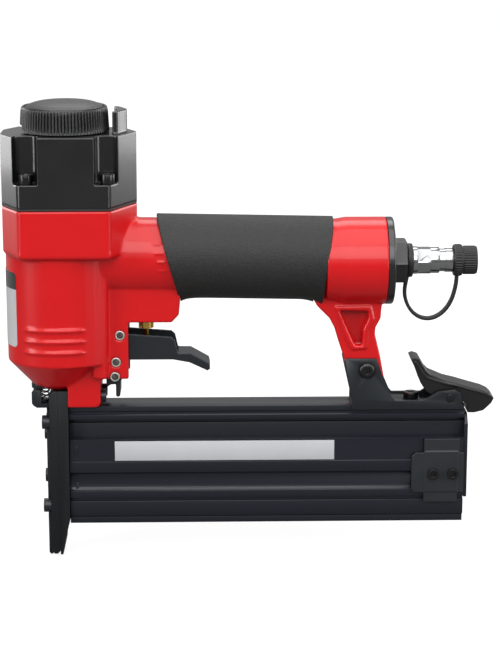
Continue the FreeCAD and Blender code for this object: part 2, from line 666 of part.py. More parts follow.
def exhaust_port():
    """Round port under the knob, with a three-armed spider that holds the knob's bolt."""
    port = cyl_z(EXHAUST_X, 0, PORT_R, PORT_FLOOR, CAP_TOP + EPS)
    spider = cyl_z(EXHAUST_X, 0, SPIDER_R, PORT_FLOOR, CAP_TOP)
    for i in range(3):
        arm = box(EXHAUST_X, EXHAUST_X + PORT_R + EPS, -SPIDER_ARM / 2, SPIDER_ARM / 2, PORT_FLOOR, CAP_TOP - EPS)
        arm.rotate(V(EXHAUST_X, 0, 0), V(0, 0, 1), 60 + 120 * i)
        spider = spider.fuse(arm)
    return port.cut(spider)


def guard_fin():
    outer = plate_z([(20.0, -FIN_HALF_WIDTH), (33.8, -FIN_HALF_WIDTH), (FIN_REAR_X, -REAR_HALF_FLAT),
                     (FIN_REAR_X, REAR_HALF_FLAT), (33.8, FIN_HALF_WIDTH), (20.0, FIN_HALF_WIDTH)],
                    CAP_TOP - EPS, FIN_TOP)
    hollow = cyl_z(EXHAUST_X, 0, FIN_INNER_R, CAP_TOP - 2 * EPS, FIN_TOP + EPS)
    fin = outer.cut(hollow)
    return fin.makeFillet(1.1, edges_along(fin, V(0, 0, 1)))


def cylinder_cap():
    cap = head_prism(cap_bottom(), CAP_TOP).fuse(guard_fin())
    cuts = [cyl_z(0, 0, VALVE_BORE_R, cap_bottom() - EPS, VALVE_ROOF),
            cyl_z(0, 0, VALVE_STEM_R + SLIDE_FIT, VALVE_ROOF - EPS, PORT_FLOOR + EPS),
            exhaust_port(), cyl_z(EXHAUST_X, 0, BOLT_R + PRESS_FIT, BOLT_END - EPS, CAP_TOP + EPS)]
    for x in (RECESS_FRONT_X, RECESS_REAR_X):
        for side in (-1, 1):
            cuts.append(cap_recess(x, side))
    for x, y in cap_screw_places():
        cuts.append(cyl_z(x, y, CAP_SCREW_R + PIN_FIT, cap_bottom() - EPS, RECESS_FLOOR + EPS))
    for cut in cuts:
        cap = cap.cut(cut)
    return cap


def socket_screw_z(x, y, shank_r, head_r, head, z0, seat_z):
    """Socket screw pointing down: shank from z0 to seat_z, head above it."""
    screw = cyl_z(x, y, shank_r, z0, seat_z).fuse(cyl_z(x, y, head_r, seat_z, seat_z + head))
    socket = turned_hexagon(x, y, head_r, seat_z + head / 2, seat_z + head + EPS)
    return screw.cut(socket)


def turned_hexagon(x, y, head_r, z0, z1):
    corner = head_r * 0.5
    turns = [math.radians(60 * i) for i in range(6)]
    return plate_z([(x + corner * math.cos(t), y + corner * math.sin(t)) for t in turns], z0, z1)


def cap_screws():
    return Part.makeCompound([socket_screw_z(x, y, CAP_SCREW_R, CAP_SCREW_HEAD_R, CAP_SCREW_HEAD,
                                             CAP_SCREW_REACH, RECESS_FLOOR) for x, y in cap_screw_places()])


def head_valve_bottom():
    return cap_bottom() + 2 * SEAT


def head_valve_ring():
    radius = VALVE_BORE_R - RING_SINK
    z = head_valve_bottom() + VALVE_HEIGHT / 2
    return ring_z(0, 0, radius - RING_DEPTH, radius, z, z + RING_WIDTH)


def head_valve():
    bottom = head_valve_bottom()
    disc = cyl_z(0, 0, VALVE_BORE_R - SLIDE_FIT, bottom, bottom + VALVE_HEIGHT)
    stem = cyl_z(0, 0, VALVE_STEM_R, bottom + VALVE_HEIGHT - EPS, VALVE_STEM_TOP)
    groove = ring_z(0, 0, VALVE_BORE_R - RING_SINK - RING_DEPTH, VALVE_BORE_R, bottom + VALVE_HEIGHT / 2,
                    bottom + VALVE_HEIGHT / 2 + RING_WIDTH)
    hollow = cyl_z(0, 0, VALVE_STEM_R - 2.4, bottom - EPS, VALVE_STEM_TOP + EPS)
    return disc.fuse(stem).cut(groove).cut(hollow)


def head_valve_spring():
    bottom = head_valve_bottom() + VALVE_HEIGHT + SEAT
    return coil_z(0, 0, VALVE_SPRING_R, VALVE_SPRING_WIRE, bottom, VALVE_ROOF - SEAT, 3)


def exhaust_deflector():
    bottom = CAP_TOP + SIDE_GAP
    knob = Part.makeCone(KNOB_R_BOTTOM, KNOB_R_TOP, KNOB_TOP - bottom, V(EXHAUST_X, 0, bottom))
    rim = [edge for edge in knob.Edges if edge.BoundBox.ZMin > KNOB_TOP - 0.01]
    knob = knob.makeFillet(1.2, rim)
    chamber = cyl_z(EXHAUST_X, 0, KNOB_CAVITY_R, bottom - EPS, KNOB_PLATE_BOTTOM)
    outlet = box(EXHAUST_X - KNOB_R_BOTTOM - EPS, EXHAUST_X - KNOB_CAVITY_R + 2 * EPS, -8.0, 8.0,
                 bottom - EPS, KNOB_PLATE_BOTTOM - 1.0)
    seat = cyl_z(EXHAUST_X, 0, KNOB_DISC_R + SEAT, KNOB_PLATE_TOP, KNOB_TOP + EPS)
    hole = cyl_z(EXHAUST_X, 0, BOLT_R + PIN_FIT, KNOB_PLATE_BOTTOM - EPS, KNOB_PLATE_TOP + EPS)
    return knob.cut(chamber).cut(outlet).cut(seat).cut(hole)


def deflector_cover():
    rim_bottom = KNOB_PLATE_TOP + SEAT
    rim_top = KNOB_TOP - 0.6
    rise = KNOB_DOME_TOP - rim_top
    ball_r = (KNOB_DISC_R ** 2 + rise ** 2) / (2 * rise)
    ball = Part.makeSphere(ball_r, V(EXHAUST_X, 0, KNOB_DOME_TOP - ball_r))
    disc = cyl_z(EXHAUST_X, 0, KNOB_DISC_R, rim_bottom, KNOB_DOME_TOP + EPS)
    hollow = cyl_z(EXHAUST_X, 0, BOLT_HEAD_R + 2.0, rim_bottom - EPS, KNOB_PLATE_TOP + BOLT_HEAD + 2 * SIDE_GAP)
    return disc.common(ball).cut(hollow)


def deflector_bolt():
    seat = KNOB_PLATE_TOP + SEAT
    return socket_screw_z(EXHAUST_X, 0, BOLT_R, BOLT_HEAD_R, BOLT_HEAD, BOLT_END, seat)


# ---- trigger valve ----------------------------------------------------------
def housing_ring():
    radius = HOUSING_R
    return ring_z(STEM_X, 0, radius - 1.2, radius, HOUSING_BOTTOM + 2.0, HOUSING_BOTTOM + 3.8)


def valve_housing():
    housing = cyl_z(STEM_X, 0, HOUSING_R, HOUSING_BOTTOM, HOUSING_TOP)
    housing = housing.fuse(cyl_z(STEM_X, 0, HOUSING_COLLAR_R, HOUSING_COLLAR_BOTTOM, HOUSING_BOTTOM))
    cavity = cyl_z(STEM_X, 0, HOUSING_CAVITY_R, HOUSING_CAVITY_BOTTOM, HOUSING_TOP - HOUSING_ROOF)
    guide = cyl_z(STEM_X, 0, STEM_R + PIN_FIT, HOUSING_COLLAR_BOTTOM - EPS, HOUSING_CAVITY_BOTTOM + EPS)
    inlet = cyl_z(STEM_X, 0, 2.0, HOUSING_TOP - HOUSING_ROOF - EPS, HOUSING_TOP + EPS)
    return housing.cut(cavity).cut(guide).cut(inlet).cut(housing_ring())


def valve_stem():
    stem = cyl_z(STEM_X, 0, STEM_R, STEM_BOTTOM, STEM_HEAD_BOTTOM)
    return stem.fuse(cyl_z(STEM_X, 0, STEM_HEAD_R, STEM_HEAD_BOTTOM, STEM_HEAD_BOTTOM + STEM_HEAD))


def stem_seal():
    return ring_z(STEM_X, 0, STEM_R + PRESS_FIT, STEM_R + 1.5, STEM_HEAD_BOTTOM - 1.6, STEM_HEAD_BOTTOM - PRESS_FIT)


def valve_spring():
    bottom = STEM_HEAD_BOTTOM + STEM_HEAD + SEAT
    return coil_z(STEM_X, 0, STEM_SPRING_R, STEM_SPRING_WIRE, bottom, HOUSING_TOP - HOUSING_ROOF - SEAT, 3)


# ---- trigger group ----------------------------------------------------------
def trigger():
    half = TRIGGER_HALF_WIDTH
    wall = plate_y(trigger_wall_outline(), -half, -half + TRIGGER_SHEET)
    floor = sided(33.8, TRIGGER_REAR_X, half, TRIGGER_FLOOR, TRIGGER_FLOOR + TRIGGER_SHEET)
    tail = plate_y(trigger_tail_outline(), -half, half)
    solid = joined([wall, mirrored(wall), floor, tail])
    return solid.cut(cyl_y(*TRIGGER_PIN, PIN_R + PIN_FIT, -half - EPS, half + EPS))


def cross_pin(place):
    half = LUG_HALF_WIDTH + 0.2
    pin = cyl_y(*place, PIN_R - PRESS_FIT, -half, half)
    for side in (-1, 1):
        y = side * half
        dimple = cyl_y(*place, PIN_R * 0.72, min(y, y - side * 0.4), max(y, y - side * 0.4))
        pin = pin.cut(dimple)
    return pin


def trigger_lock():
    lever = plate_y(lock_outline(), -LOCK_HALF_WIDTH, LOCK_HALF_WIDTH)
    hub = cyl_y(*LOCK_PIN, LOCK_HUB_R, -LOCK_HALF_WIDTH, LOCK_HALF_WIDTH)
    return lever.fuse(hub).cut(cyl_y(*LOCK_PIN, PIN_R + PIN_FIT, -LUG_HALF_WIDTH, LUG_HALF_WIDTH))


# ---- grip, end cap and air inlet --------------------------------------------
def rubber_grip():
    wide, tall = CORE_HALF_Y + GRIP_WALL_Y, CORE_HALF_Z + GRIP_WALL_Z
    outer = oval_loft([(GRIP_FRONT_X, wide, tall, HANDLE_Z_FRONT), (GRIP_REAR_X, wide, tall, HANDLE_Z_REAR)])
    low, high = 100.0, 200.0
    top, bottom = HANDLE_Z_FRONT + tall, HANDLE_Z_FRONT - tall
    slope = GRIP_FRONT_SLANT / (top - bottom)
    front_top = GRIP_FRONT_X + 1.0
    front = plate_y([(0, low), (front_top + (top - low) * slope, low), (front_top + (top - high) * slope, high),
                     (0, high)], -60, 60)
    rear_slope = GRIP_REAR_SLANT / (top - bottom)
    rear = plate_y([(250, low), (GRIP_REAR_X - (top - low) * rear_slope, low),
                    (GRIP_REAR_X - (top - high) * rear_slope, high), (250, high)], -60, 60)
    solid = outer.cut(front).cut(rear).cut(handle_core())
    for other in (trigger_lugs(), rear_leg()):
        solid = solid.cut(other)
    return max(solid.Solids, key=lambda piece: piece.Volume)


def inlet_stations():
    """X of each step of the air inlet, from the handle's end outwards."""
    rim = REAR_END_X + END_RIM
    hex_end = rim + END_HEX_LENGTH
    ring_end = hex_end + TETHER_RING + 2 * SEAT
    neck_end = ring_end + 2.4
    plug_hex_end = neck_end + PLUG_HEX
    body_end = plug_hex_end + PLUG_BODY
    groove_end = body_end + PLUG_GROOVE
    bead_end = groove_end + PLUG_BEAD
    return rim, hex_end, ring_end, neck_end, plug_hex_end, body_end, groove_end, bead_end


def end_cap_ring():
    x = REAR_END_X - END_BORE_LENGTH / 2
    return ring_x(0, REAR_Z, SPIGOT_R - 1.8, SPIGOT_R + 0.2, x, x + RING_WIDTH)


def end_cap():
    rim, hex_end = inlet_stations()[:2]
    disc = cyl_x(0, REAR_Z, REAR_R, REAR_END_X + SEAT / 2, rim)
    outer = [edge for edge in disc.Edges if edge.BoundBox.XMin > rim - 0.01]
    disc = disc.makeFillet(1.2, outer)
    spigot = cyl_x(0, REAR_Z, SPIGOT_R, REAR_END_X - END_BORE_LENGTH + SEAT, REAR_END_X + EPS)
    nut = hexagon_x(END_HEX_AF, 0, REAR_Z, rim - EPS, hex_end)
    bore = cyl_x(0, REAR_Z, THREAD_R + PRESS_FIT, REAR_END_X - END_BORE_LENGTH - EPS, hex_end + EPS)
    return joined([disc, spigot, nut]).cut(bore).cut(end_cap_ring())


def air_plug():
    rim, hex_end, ring_end, neck_end, plug_hex_end, body_end, groove_end, bead_end = inlet_stations()
    start = REAR_END_X - END_BORE_LENGTH + EPS
    pieces = [cyl_x(0, REAR_Z, THREAD_R, start, neck_end),
              cyl_x(0, REAR_Z, PLUG_BODY_R + 0.4, ring_end, neck_end),
              hexagon_x(PLUG_HEX_AF, 0, REAR_Z, neck_end - SEAT, plug_hex_end),
              cyl_x(0, REAR_Z, PLUG_BODY_R, plug_hex_end - SEAT, body_end),
              cyl_x(0, REAR_Z, PLUG_GROOVE_R, body_end - SEAT, groove_end),
              cyl_x(0, REAR_Z, PLUG_BEAD_R, groove_end - SEAT, bead_end),
              cyl_x(0, REAR_Z, NIPPLE_R, bead_end - SEAT, bead_end + NIPPLE)]
    return joined(pieces).cut(cyl_x(0, REAR_Z, BORE_R, start - EPS, bead_end + NIPPLE + EPS))


def dust_cap():
    start = inlet_stations()[-1] + SIDE_GAP
    flange = cyl_x(0, REAR_Z, CAP_FLANGE_R, start, start + CAP_FLANGE)
    body = cyl_x(0, REAR_Z, CAP_BODY_R, start, start + CAP_LENGTH)
    bore = cyl_x(0, REAR_Z, NIPPLE_R + PIN_FIT, start - EPS, start + NIPPLE + SIDE_GAP)
    return flange.fuse(body).cut(bore)


def dust_cap_strap():
    hex_end = inlet_stations()[1]
    start = hex_end + SEAT
    ring = ring_x(0, REAR_Z, THREAD_R + PIN_FIT, TETHER_RING_R, start, start + TETHER_RING)
    left = start - 1.2
    centre_x = left + TETHER_R
    half = TETHER_HALF_WIDTH
    outer = cyl_y(centre_x, TETHER_DROP, TETHER_R, -half, half)
    inner = cyl_y(centre_x, TETHER_DROP, TETHER_R - TETHER_THICK, -half - EPS, half + EPS)
    upper = sided(left - EPS, left + 2 * TETHER_R + EPS, half + EPS, TETHER_DROP, TETHER_DROP + 2 * TETHER_R)
    loop = outer.cut(inner).cut(upper)
    ring_low = REAR_Z - TETHER_RING_R + 1.0
    front = plate_y([(left, TETHER_DROP), (left + TETHER_THICK, TETHER_DROP), (start + TETHER_RING, ring_low),
                     (start + 0.4, ring_low)], -half, half)
    cap_start = inlet_stations()[-1] + SIDE_GAP
    right = left + 2 * TETHER_R
    cap_low = REAR_Z - CAP_FLANGE_R - 2 * SEAT
    rear = plate_y([(right - TETHER_THICK, TETHER_DROP), (right, TETHER_DROP), (cap_start + 3.2, cap_low),
                    (cap_start + 0.4, cap_low)], -half, half)
    return joined([ring, loop, front, rear])


# ---- nose -------------------------------------------------------------------
def driver_channel():
    return sided(-CHANNEL_HALF, CHANNEL_HALF, CHANNEL_HALF_WIDTH, -EPS, NOSE_TOP + EPS)


def nose_front_plate():
    front = -FRONT_PLATE
    body = plate_y([(front, FRONT_TIP + 1.6), (front + 1.2, FRONT_TIP), (-1.4, FRONT_TIP), (-PARTING, FRONT_TIP + 1.4),
                    (-PARTING, NOSE_TOP), (-2.2, NOSE_TOP), (front, NOSE_TOP - 2.0)],
                   -NOSE_HALF_WIDTH, NOSE_HALF_WIDTH)
    body = body.cut(driver_channel())
    for y, z in NOSE_SCREWS:
        body = body.cut(cyl_x(y, z, NOSE_SCREW_R + PIN_FIT, front - EPS, EPS))
    return body


def nose_rear_plate():
    rear = REAR_PLATE
    body = plate_y([(PARTING, REAR_TIP), (1.4, REAR_TIP), (2.2, 5.4), (2.6, 9.9), (rear - 0.6, 18.6),
                    (rear, 21.0), (rear, NOSE_TOP), (PARTING, NOSE_TOP)], -NOSE_HALF_WIDTH, NOSE_HALF_WIDTH)
    feed = sided(0, rear + EPS, SLOT_HALF, FOOT_TOP, SLOT_TOP)
    body = body.cut(driver_channel()).cut(feed)
    for y, z in NOSE_SCREWS:
        body = body.cut(cyl_x(y, z, NOSE_SCREW_R + PIN_FIT, -EPS, rear + EPS))
    for side in (-1, 1):
        body = body.cut(cyl_x(side * BLOCK_SCREW_Y, BLOCK_SCREW_Z, BLOCK_SCREW_R + PIN_FIT, 1.5, rear + EPS))
    return body


def screw_x(y, z, shank_r, head_r, head, tip_x, seat_x, direction):
    """Socket screw along X; direction is +1 when its head points to +X."""
    low, high = min(tip_x, seat_x), max(tip_x, seat_x)
    shank = cyl_x(y, z, shank_r, low, high)
    far = seat_x + direction * head
    cap = cyl_x(y, z, head_r, min(seat_x, far), max(seat_x, far))
    deep = far - direction * head / 2
    socket = hexagon_x(head_r * 0.9, y, z, min(deep, far + direction), max(deep, far + direction))
    return shank.fuse(cap).cut(socket)


def nose_screws():
    seat_x = -FRONT_PLATE
    tip_x = REAR_PLATE - SEAT
    return Part.makeCompound([screw_x(y, z, NOSE_SCREW_R, NOSE_HEAD_R, NOSE_HEAD, tip_x, seat_x, -1)
                              for y, z in NOSE_SCREWS])


def block_screws():
    seat_x = BLOCK_REAR_X + PIN_FIT
    return Part.makeCompound([screw_x(side * BLOCK_SCREW_Y, BLOCK_SCREW_Z, BLOCK_SCREW_R, BLOCK_HEAD_R,
                                      BLOCK_HEAD, 1.8, seat_x, 1) for side in (-1, 1)])


def contact_safety():
    rear = -FRONT_PLATE - SEAT
    front = rear - SAFETY_THICK
    strip = plate_y([(rear, 0.4), (rear - 0.4, 0.0), (front + 0.8, 0.0), (front, 1.0), (front, SAFETY_TOP),
                     (rear, SAFETY_TOP)], -SAFETY_HALF_WIDTH, SAFETY_HALF_WIDTH)
    rod_x = front + SAFETY_ROD_R
    rod = cyl_z(rod_x, 0, SAFETY_ROD_R, SAFETY_TOP - EPS, SAFETY_COLLAR_BOTTOM + SAFETY_COLLAR)
    collar = cyl_z(SAFETY_X, 0, SAFETY_COLLAR_R, SAFETY_COLLAR_BOTTOM, SAFETY_COLLAR_BOTTOM + SAFETY_COLLAR)
    return joined([strip, rod, collar])


def safety_hook():
    """Bent guide on the front plate: its foot carries the spring's collar, its leg shields the spring."""
    rear = -FRONT_PLATE - SEAT / 2
    front = rear - SAFETY_THICK
    rod_x = front - SEAT / 2 + SAFETY_ROD_R
    foot = plate_y([(rear, HOOK_FOOT_BOTTOM), (rear, HOOK_FOOT_TOP), (-12.0, HOOK_FOOT_TOP), (-12.0, 82.4),
                    (-11.0, HOOK_FOOT_BOTTOM)], -6.2, 6.2)
    side = plate_y([(-13.6, 83.4), (-12.6, 82.0), (-11.0, HOOK_FOOT_BOTTOM), (-8.6, HOOK_FOOT_BOTTOM),
                    (-8.6, 89.6), (-9.6, 90.4), (-12.6, 90.4), (-13.6, 89.4)], -6.2, -4.6)
    return joined([foot, side, mirrored(side)]).cut(
        cyl_z(rod_x, 0, SAFETY_ROD_R + SLIDE_FIT, HOOK_FOOT_BOTTOM - EPS, HOOK_FOOT_TOP + EPS))


def safety_spring():
    bottom = SAFETY_COLLAR_BOTTOM + SAFETY_COLLAR + SEAT
    return coil_z(SAFETY_X, 0, SAFETY_SPRING_R, SAFETY_SPRING_WIRE, bottom, SPRING_SEAT_BOTTOM - SEAT, 2.5)


def spring_seat():
    return cyl_z(SAFETY_X, 0, SPRING_SEAT_R, SPRING_SEAT_BOTTOM, SPRING_SEAT_BOTTOM + SPRING_SEAT - SEAT)


# ---- magazine ---------------------------------------------------------------
def rail_outline():
    foot_front = -MAG_HALF_WIDTH
    dent, groove, dent_front = MAG_HALF_WIDTH - 0.8, MAG_HALF_WIDTH - 0.5, 0.8 - MAG_HALF_WIDTH
    lip = foot_front + LIP_THICK
    groove_front, groove_rear = TONGUE_FRONT_Y - SEAT, TONGUE_REAR_Y + SEAT
    groove_top = TONGUE_TOP + SIDE_GAP
    lower = SLOT_TOP + SIDE_GAP
    return [(-BEAM_HALF_WIDTH, MAG_TOP), (BEAM_HALF_WIDTH, MAG_TOP), (BEAM_HALF_WIDTH, MAG_TOP - 2.8), (dent, MAG_TOP - 3.8),
            (dent, MAG_TOP - 6.2), (MAG_HALF_WIDTH, MAG_TOP - 7.2), (MAG_HALF_WIDTH, PANEL_BOTTOM + 0.2), (dent, PANEL_BOTTOM - 0.2), (dent, LABEL_BOTTOM + 0.2),
            (MAG_HALF_WIDTH, LABEL_BOTTOM - 0.2), (MAG_HALF_WIDTH, MAG_BOTTOM + 27.5), (dent, MAG_BOTTOM + 26.3), (dent, MAG_BOTTOM + 19.3), (MAG_HALF_WIDTH, MAG_BOTTOM + 18.1),
            (MAG_HALF_WIDTH, MAG_BOTTOM + 13.9), (groove, MAG_BOTTOM + 13.5), (groove, MAG_BOTTOM + 12.3), (MAG_HALF_WIDTH, MAG_BOTTOM + 11.9),
            (MAG_HALF_WIDTH, MAG_BOTTOM), (foot_front, MAG_BOTTOM),
            (foot_front, LIP_TOP), (lip, LIP_TOP), (lip, FOOT_TOP), (SLOT_HALF, FOOT_TOP), (SLOT_HALF, lower),
            (groove_rear, lower), (groove_rear, groove_top), (groove_front, groove_top),
            (groove_front, lower), (PANEL_Y + 0.6, lower), (PANEL_Y + 0.6, BEAM_BOTTOM),
            (-BEAM_HALF_WIDTH, BEAM_BOTTOM), (-BEAM_HALF_WIDTH, MAG_TOP - 4.8), (dent_front, MAG_TOP - 4.2), (dent_front, MAG_TOP - 3.2),
            (-BEAM_HALF_WIDTH, MAG_TOP - 2.6)]


def magazine_rail():
    rail = plate_x(rail_outline(), MAG_FRONT_X, MAG_REAR_X - SIDE_GAP)
    hole = cyl_z(BASE_SCREW_X, 0, BASE_SCREW_R + PIN_FIT, BEAM_BOTTOM + 2.0, MAG_TOP + EPS)
    hollow = box(MAG_FRONT_X - EPS, MAG_REAR_X + EPS, SLOT_HALF + RAIL_WALL, MAG_HALF_WIDTH - RAIL_WALL,
                 MAG_BOTTOM + 3 * RAIL_WALL, SLOT_TOP - RAIL_WALL)
    return rail.cut(hole).cut(hollow)


def slide_outline():
    inner = -SLOT_HALF
    lip = -MAG_HALF_WIDTH + LIP_THICK + SIDE_GAP
    bottom = FOOT_TOP + SIDE_GAP
    above_lip = LIP_TOP + SIDE_GAP
    front = -MAG_HALF_WIDTH
    return [(inner, SLOT_TOP), (TONGUE_REAR_Y, SLOT_TOP), (TONGUE_REAR_Y, TONGUE_TOP),
            (TONGUE_FRONT_Y, TONGUE_TOP), (TONGUE_FRONT_Y, SLOT_TOP), (PANEL_Y, SLOT_TOP),
            (PANEL_Y, PANEL_BOTTOM), (BAND_Y, PANEL_BOTTOM), (BAND_Y, PANEL_BOTTOM - 0.4),
            (LABEL_Y, PANEL_BOTTOM - 0.5), (LABEL_Y, LABEL_BOTTOM), (BAND_Y, LABEL_BOTTOM - 0.2),
            (BAND_Y, MAG_BOTTOM + 27.7), (front, MAG_BOTTOM + 27.3), (front + 0.9, MAG_BOTTOM + 26.1), (front + 0.9, MAG_BOTTOM + 19.5), (front + 0.2, MAG_BOTTOM + 18.1),
            (BAND_Y, MAG_BOTTOM + 17.7), (BAND_Y, MAG_BOTTOM + 13.9), (front + 0.6, MAG_BOTTOM + 13.5), (front + 0.6, MAG_BOTTOM + 12.3), (BAND_Y + 0.2, MAG_BOTTOM + 11.9),
            (BAND_Y + 0.2, MAG_BOTTOM + 5.5), (front, above_lip), (lip, above_lip), (lip, bottom), (inner, bottom)]


def spring_chamber(gap=0.0):
    """Room for the pusher's block and spring, open to the brad gap through a narrow neck."""
    room = box(MAG_FRONT_X - EPS, MAG_REAR_X + EPS, CHAMBER_FRONT_Y + gap, CHAMBER_REAR_Y - gap,
               CHAMBER_BOTTOM + gap, CHAMBER_TOP - gap)
    neck = box(MAG_FRONT_X - EPS, MAG_REAR_X + EPS, CHAMBER_REAR_Y - gap - EPS, 0, NECK_BOTTOM + gap,
               NECK_TOP - gap)
    return room.fuse(neck)


def keeper_screw_holes(y0, y1, radius):
    return [cyl_y(x, KEEPER_SCREW_Z, radius, y0, y1) for x in KEEPER_SCREWS_X]


def magazine_slide():
    slide = plate_x(slide_outline(), MAG_FRONT_X + SEAT, MAG_REAR_X)
    slide = slide.cut(spring_chamber())
    for hole in keeper_screw_holes(BAND_Y - EPS, CHAMBER_FRONT_Y - SEAT, KEEPER_SCREW_R + PIN_FIT):
        slide = slide.cut(hole)
    return slide


def slide_end_plate():
    far, corner_z = MAG_HALF_WIDTH - 0.6, END_PLATE_TOP - 4.9
    plate = plate_x([(BAND_Y, END_PLATE_BOTTOM), (far, END_PLATE_BOTTOM), (far, corner_z), (5.0, END_PLATE_TOP),
                     (-5.0, END_PLATE_TOP), (BAND_Y, corner_z)], MAG_REAR_X, MAG_REAR_X + END_PLATE)
    return plate.cut(cyl_x(ROD_Y, ROD_Z, ROD_R + PRESS_FIT, MAG_REAR_X - EPS, MAG_REAR_X + END_PLATE + EPS))


def pusher():
    rear = PUSHER_FRONT_X + PUSHER_LENGTH
    keep = box(PUSHER_FRONT_X, rear, CHAMBER_FRONT_Y, SLOT_HALF, CHAMBER_BOTTOM, CHAMBER_TOP)
    carriage = spring_chamber(SEAT * 1.5).common(keep)
    blade = box(PUSHER_FRONT_X, rear, SEAT * 2 - SLOT_HALF, SLOT_HALF - SEAT * 2, PUSHER_BOTTOM, PUSHER_TOP)
    rod_hole = cyl_x(ROD_Y, ROD_Z, ROD_R + SLIDE_FIT, PUSHER_FRONT_X - EPS, rear + EPS)
    return carriage.fuse(blade).cut(rod_hole)


def pusher_rod():
    return cyl_x(ROD_Y, ROD_Z, ROD_R, MAG_FRONT_X + 1.5, MAG_REAR_X + END_PLATE)


def pusher_spring():
    start = PUSHER_FRONT_X + PUSHER_LENGTH + SEAT
    end = MAG_REAR_X - SEAT
    turns = round((end - start) / PUSHER_SPRING_PITCH)
    spring = turned_to_x(coil_z(0, 0, PUSHER_SPRING_R, PUSHER_SPRING_WIRE, 0, end - start, turns))
    spring.translate(V(start, ROD_Y, ROD_Z))
    return spring


def magazine_label():
    return box(LABEL_FRONT_X, LABEL_REAR_X, LABEL_Y - LABEL_THICK, LABEL_Y, LABEL_BOTTOM + 0.4, PANEL_BOTTOM - 0.9)


def front_label():
    """Curved plate round the front of the barrel."""
    skin = ring_z(0, 0, BARREL_R, BARREL_R + LABEL_THICK, FRONT_LABEL_BOTTOM, FRONT_LABEL_TOP)
    half = math.radians(FRONT_LABEL_ANGLE)
    reach = 2 * BARREL_R
    wedge = plate_z([(0, 0), (-reach, reach * math.tan(half)), (-reach, -reach * math.tan(half))],
                    FRONT_LABEL_BOTTOM, FRONT_LABEL_TOP)
    return skin.common(wedge)


def keeper_plate():
    y0, y1 = BAND_Y - SEAT / 2 - KEEPER_SHEET, BAND_Y - SEAT / 2
    body = plate_y([(KEEPER_FRONT_X, KEEPER_TOP - 2.0), (KEEPER_FRONT_X + 2.0, KEEPER_TOP),
                    (KEEPER_TAB_FRONT_X, KEEPER_TOP), (KEEPER_TAB_FRONT_X, KEEPER_TAB_TOP),
                    (KEEPER_TAB_REAR_X, KEEPER_TAB_TOP), (KEEPER_TAB_REAR_X, KEEPER_TOP),
                    (MAG_REAR_X, KEEPER_TOP), (MAG_REAR_X, KEEPER_BOTTOM), (KEEPER_TAB_REAR_X - 1.0, KEEPER_BOTTOM),
                    (KEEPER_TAB_REAR_X - 1.0, KEEPER_TAB_BOTTOM), (KEEPER_TAB_FRONT_X, KEEPER_TAB_BOTTOM),
                    (KEEPER_TAB_FRONT_X, KEEPER_BOTTOM), (KEEPER_FRONT_X + 1.0, KEEPER_BOTTOM),
                    (KEEPER_FRONT_X, KEEPER_BOTTOM + 2.0)], y0, y1)
    for hole in keeper_screw_holes(y0 - EPS, y1 + EPS, KEEPER_SCREW_R + PIN_FIT):
        body = body.cut(hole)
    return body


def keeper_screws():
    seat_y = BAND_Y - SEAT - KEEPER_SHEET
    screws = []
    for x in KEEPER_SCREWS_X:
        shank = cyl_y(x, KEEPER_SCREW_Z, KEEPER_SCREW_R, seat_y, CHAMBER_FRONT_Y - 2 * SEAT)
        head = cyl_y(x, KEEPER_SCREW_Z, KEEPER_HEAD_R, seat_y - KEEPER_HEAD, seat_y)
        socket = cyl_y(x, KEEPER_SCREW_Z, KEEPER_HEAD_R * 0.5, seat_y - KEEPER_HEAD - EPS, seat_y - KEEPER_HEAD / 2)
        screws.append(shank.fuse(head).cut(socket))
    return Part.makeCompound(screws)


# ---- bracket and latch ------------------------------------------------------
def magazine_bracket():
    inner, outer = BRACKET_HALF_INNER, BRACKET_HALF_INNER + BRACKET_SHEET
    wall = plate_y(bracket_outline(), -outer, -inner)
    wall = wall.cut(cyl_y(*BRACKET_SCREW, BRACKET_SCREW_R + PIN_FIT, -outer - EPS, -inner + EPS))
    wall = wall.cut(cyl_y(*LATCH_PIN, LATCH_PIN_R, -outer - EPS, -inner + EPS))
    base_low = MAG_TOP + SEAT
    base = sided(BRACKET_SCREW[0] - 7.6, BASE_REAR_X, inner + EPS, base_low, base_low + BRACKET_SHEET)
    base = base.cut(cyl_z(BASE_SCREW_X, 0, BASE_SCREW_R + PIN_FIT, base_low - EPS, base_low + 2 * BRACKET_SHEET))
    return joined([wall, mirrored(wall), base])


def bracket_screw():
    seat_y = -BRACKET_HALF_INNER - BRACKET_SHEET - SEAT / 2
    shank = cyl_y(*BRACKET_SCREW, BRACKET_SCREW_R, seat_y, BRACKET_HALF_INNER + BRACKET_SHEET + NUT_HEIGHT)
    head = cyl_y(*BRACKET_SCREW, BUTTON_R, seat_y - BUTTON_HEIGHT, seat_y)
    rim = [edge for edge in head.Edges if edge.BoundBox.YMax < seat_y - BUTTON_HEIGHT + 0.01]
    head = head.makeFillet(BUTTON_HEIGHT * 0.8, rim)
    socket = cyl_y(*BRACKET_SCREW, BUTTON_R * 0.36, seat_y - BUTTON_HEIGHT - EPS, seat_y - BUTTON_HEIGHT / 2)
    return shank.fuse(head).cut(socket)


def bracket_nut():
    x, z = BRACKET_SCREW
    y0 = BRACKET_HALF_INNER + BRACKET_SHEET + SEAT / 2
    turns = [math.radians(60 * i) for i in range(6)]
    nut = plate_y([(x + NUT_R * math.cos(t), z + NUT_R * math.sin(t)) for t in turns], y0, y0 + NUT_HEIGHT - SEAT)
    return nut.cut(cyl_y(x, z, BRACKET_SCREW_R + PRESS_FIT, y0 - EPS, y0 + NUT_HEIGHT + EPS))


def base_screw():
    seat = MAG_TOP + 2 * SEAT + BRACKET_SHEET
    return socket_screw_z(BASE_SCREW_X, 0, BASE_SCREW_R, BASE_HEAD_R, BASE_HEAD, BEAM_BOTTOM + 3.0, seat)


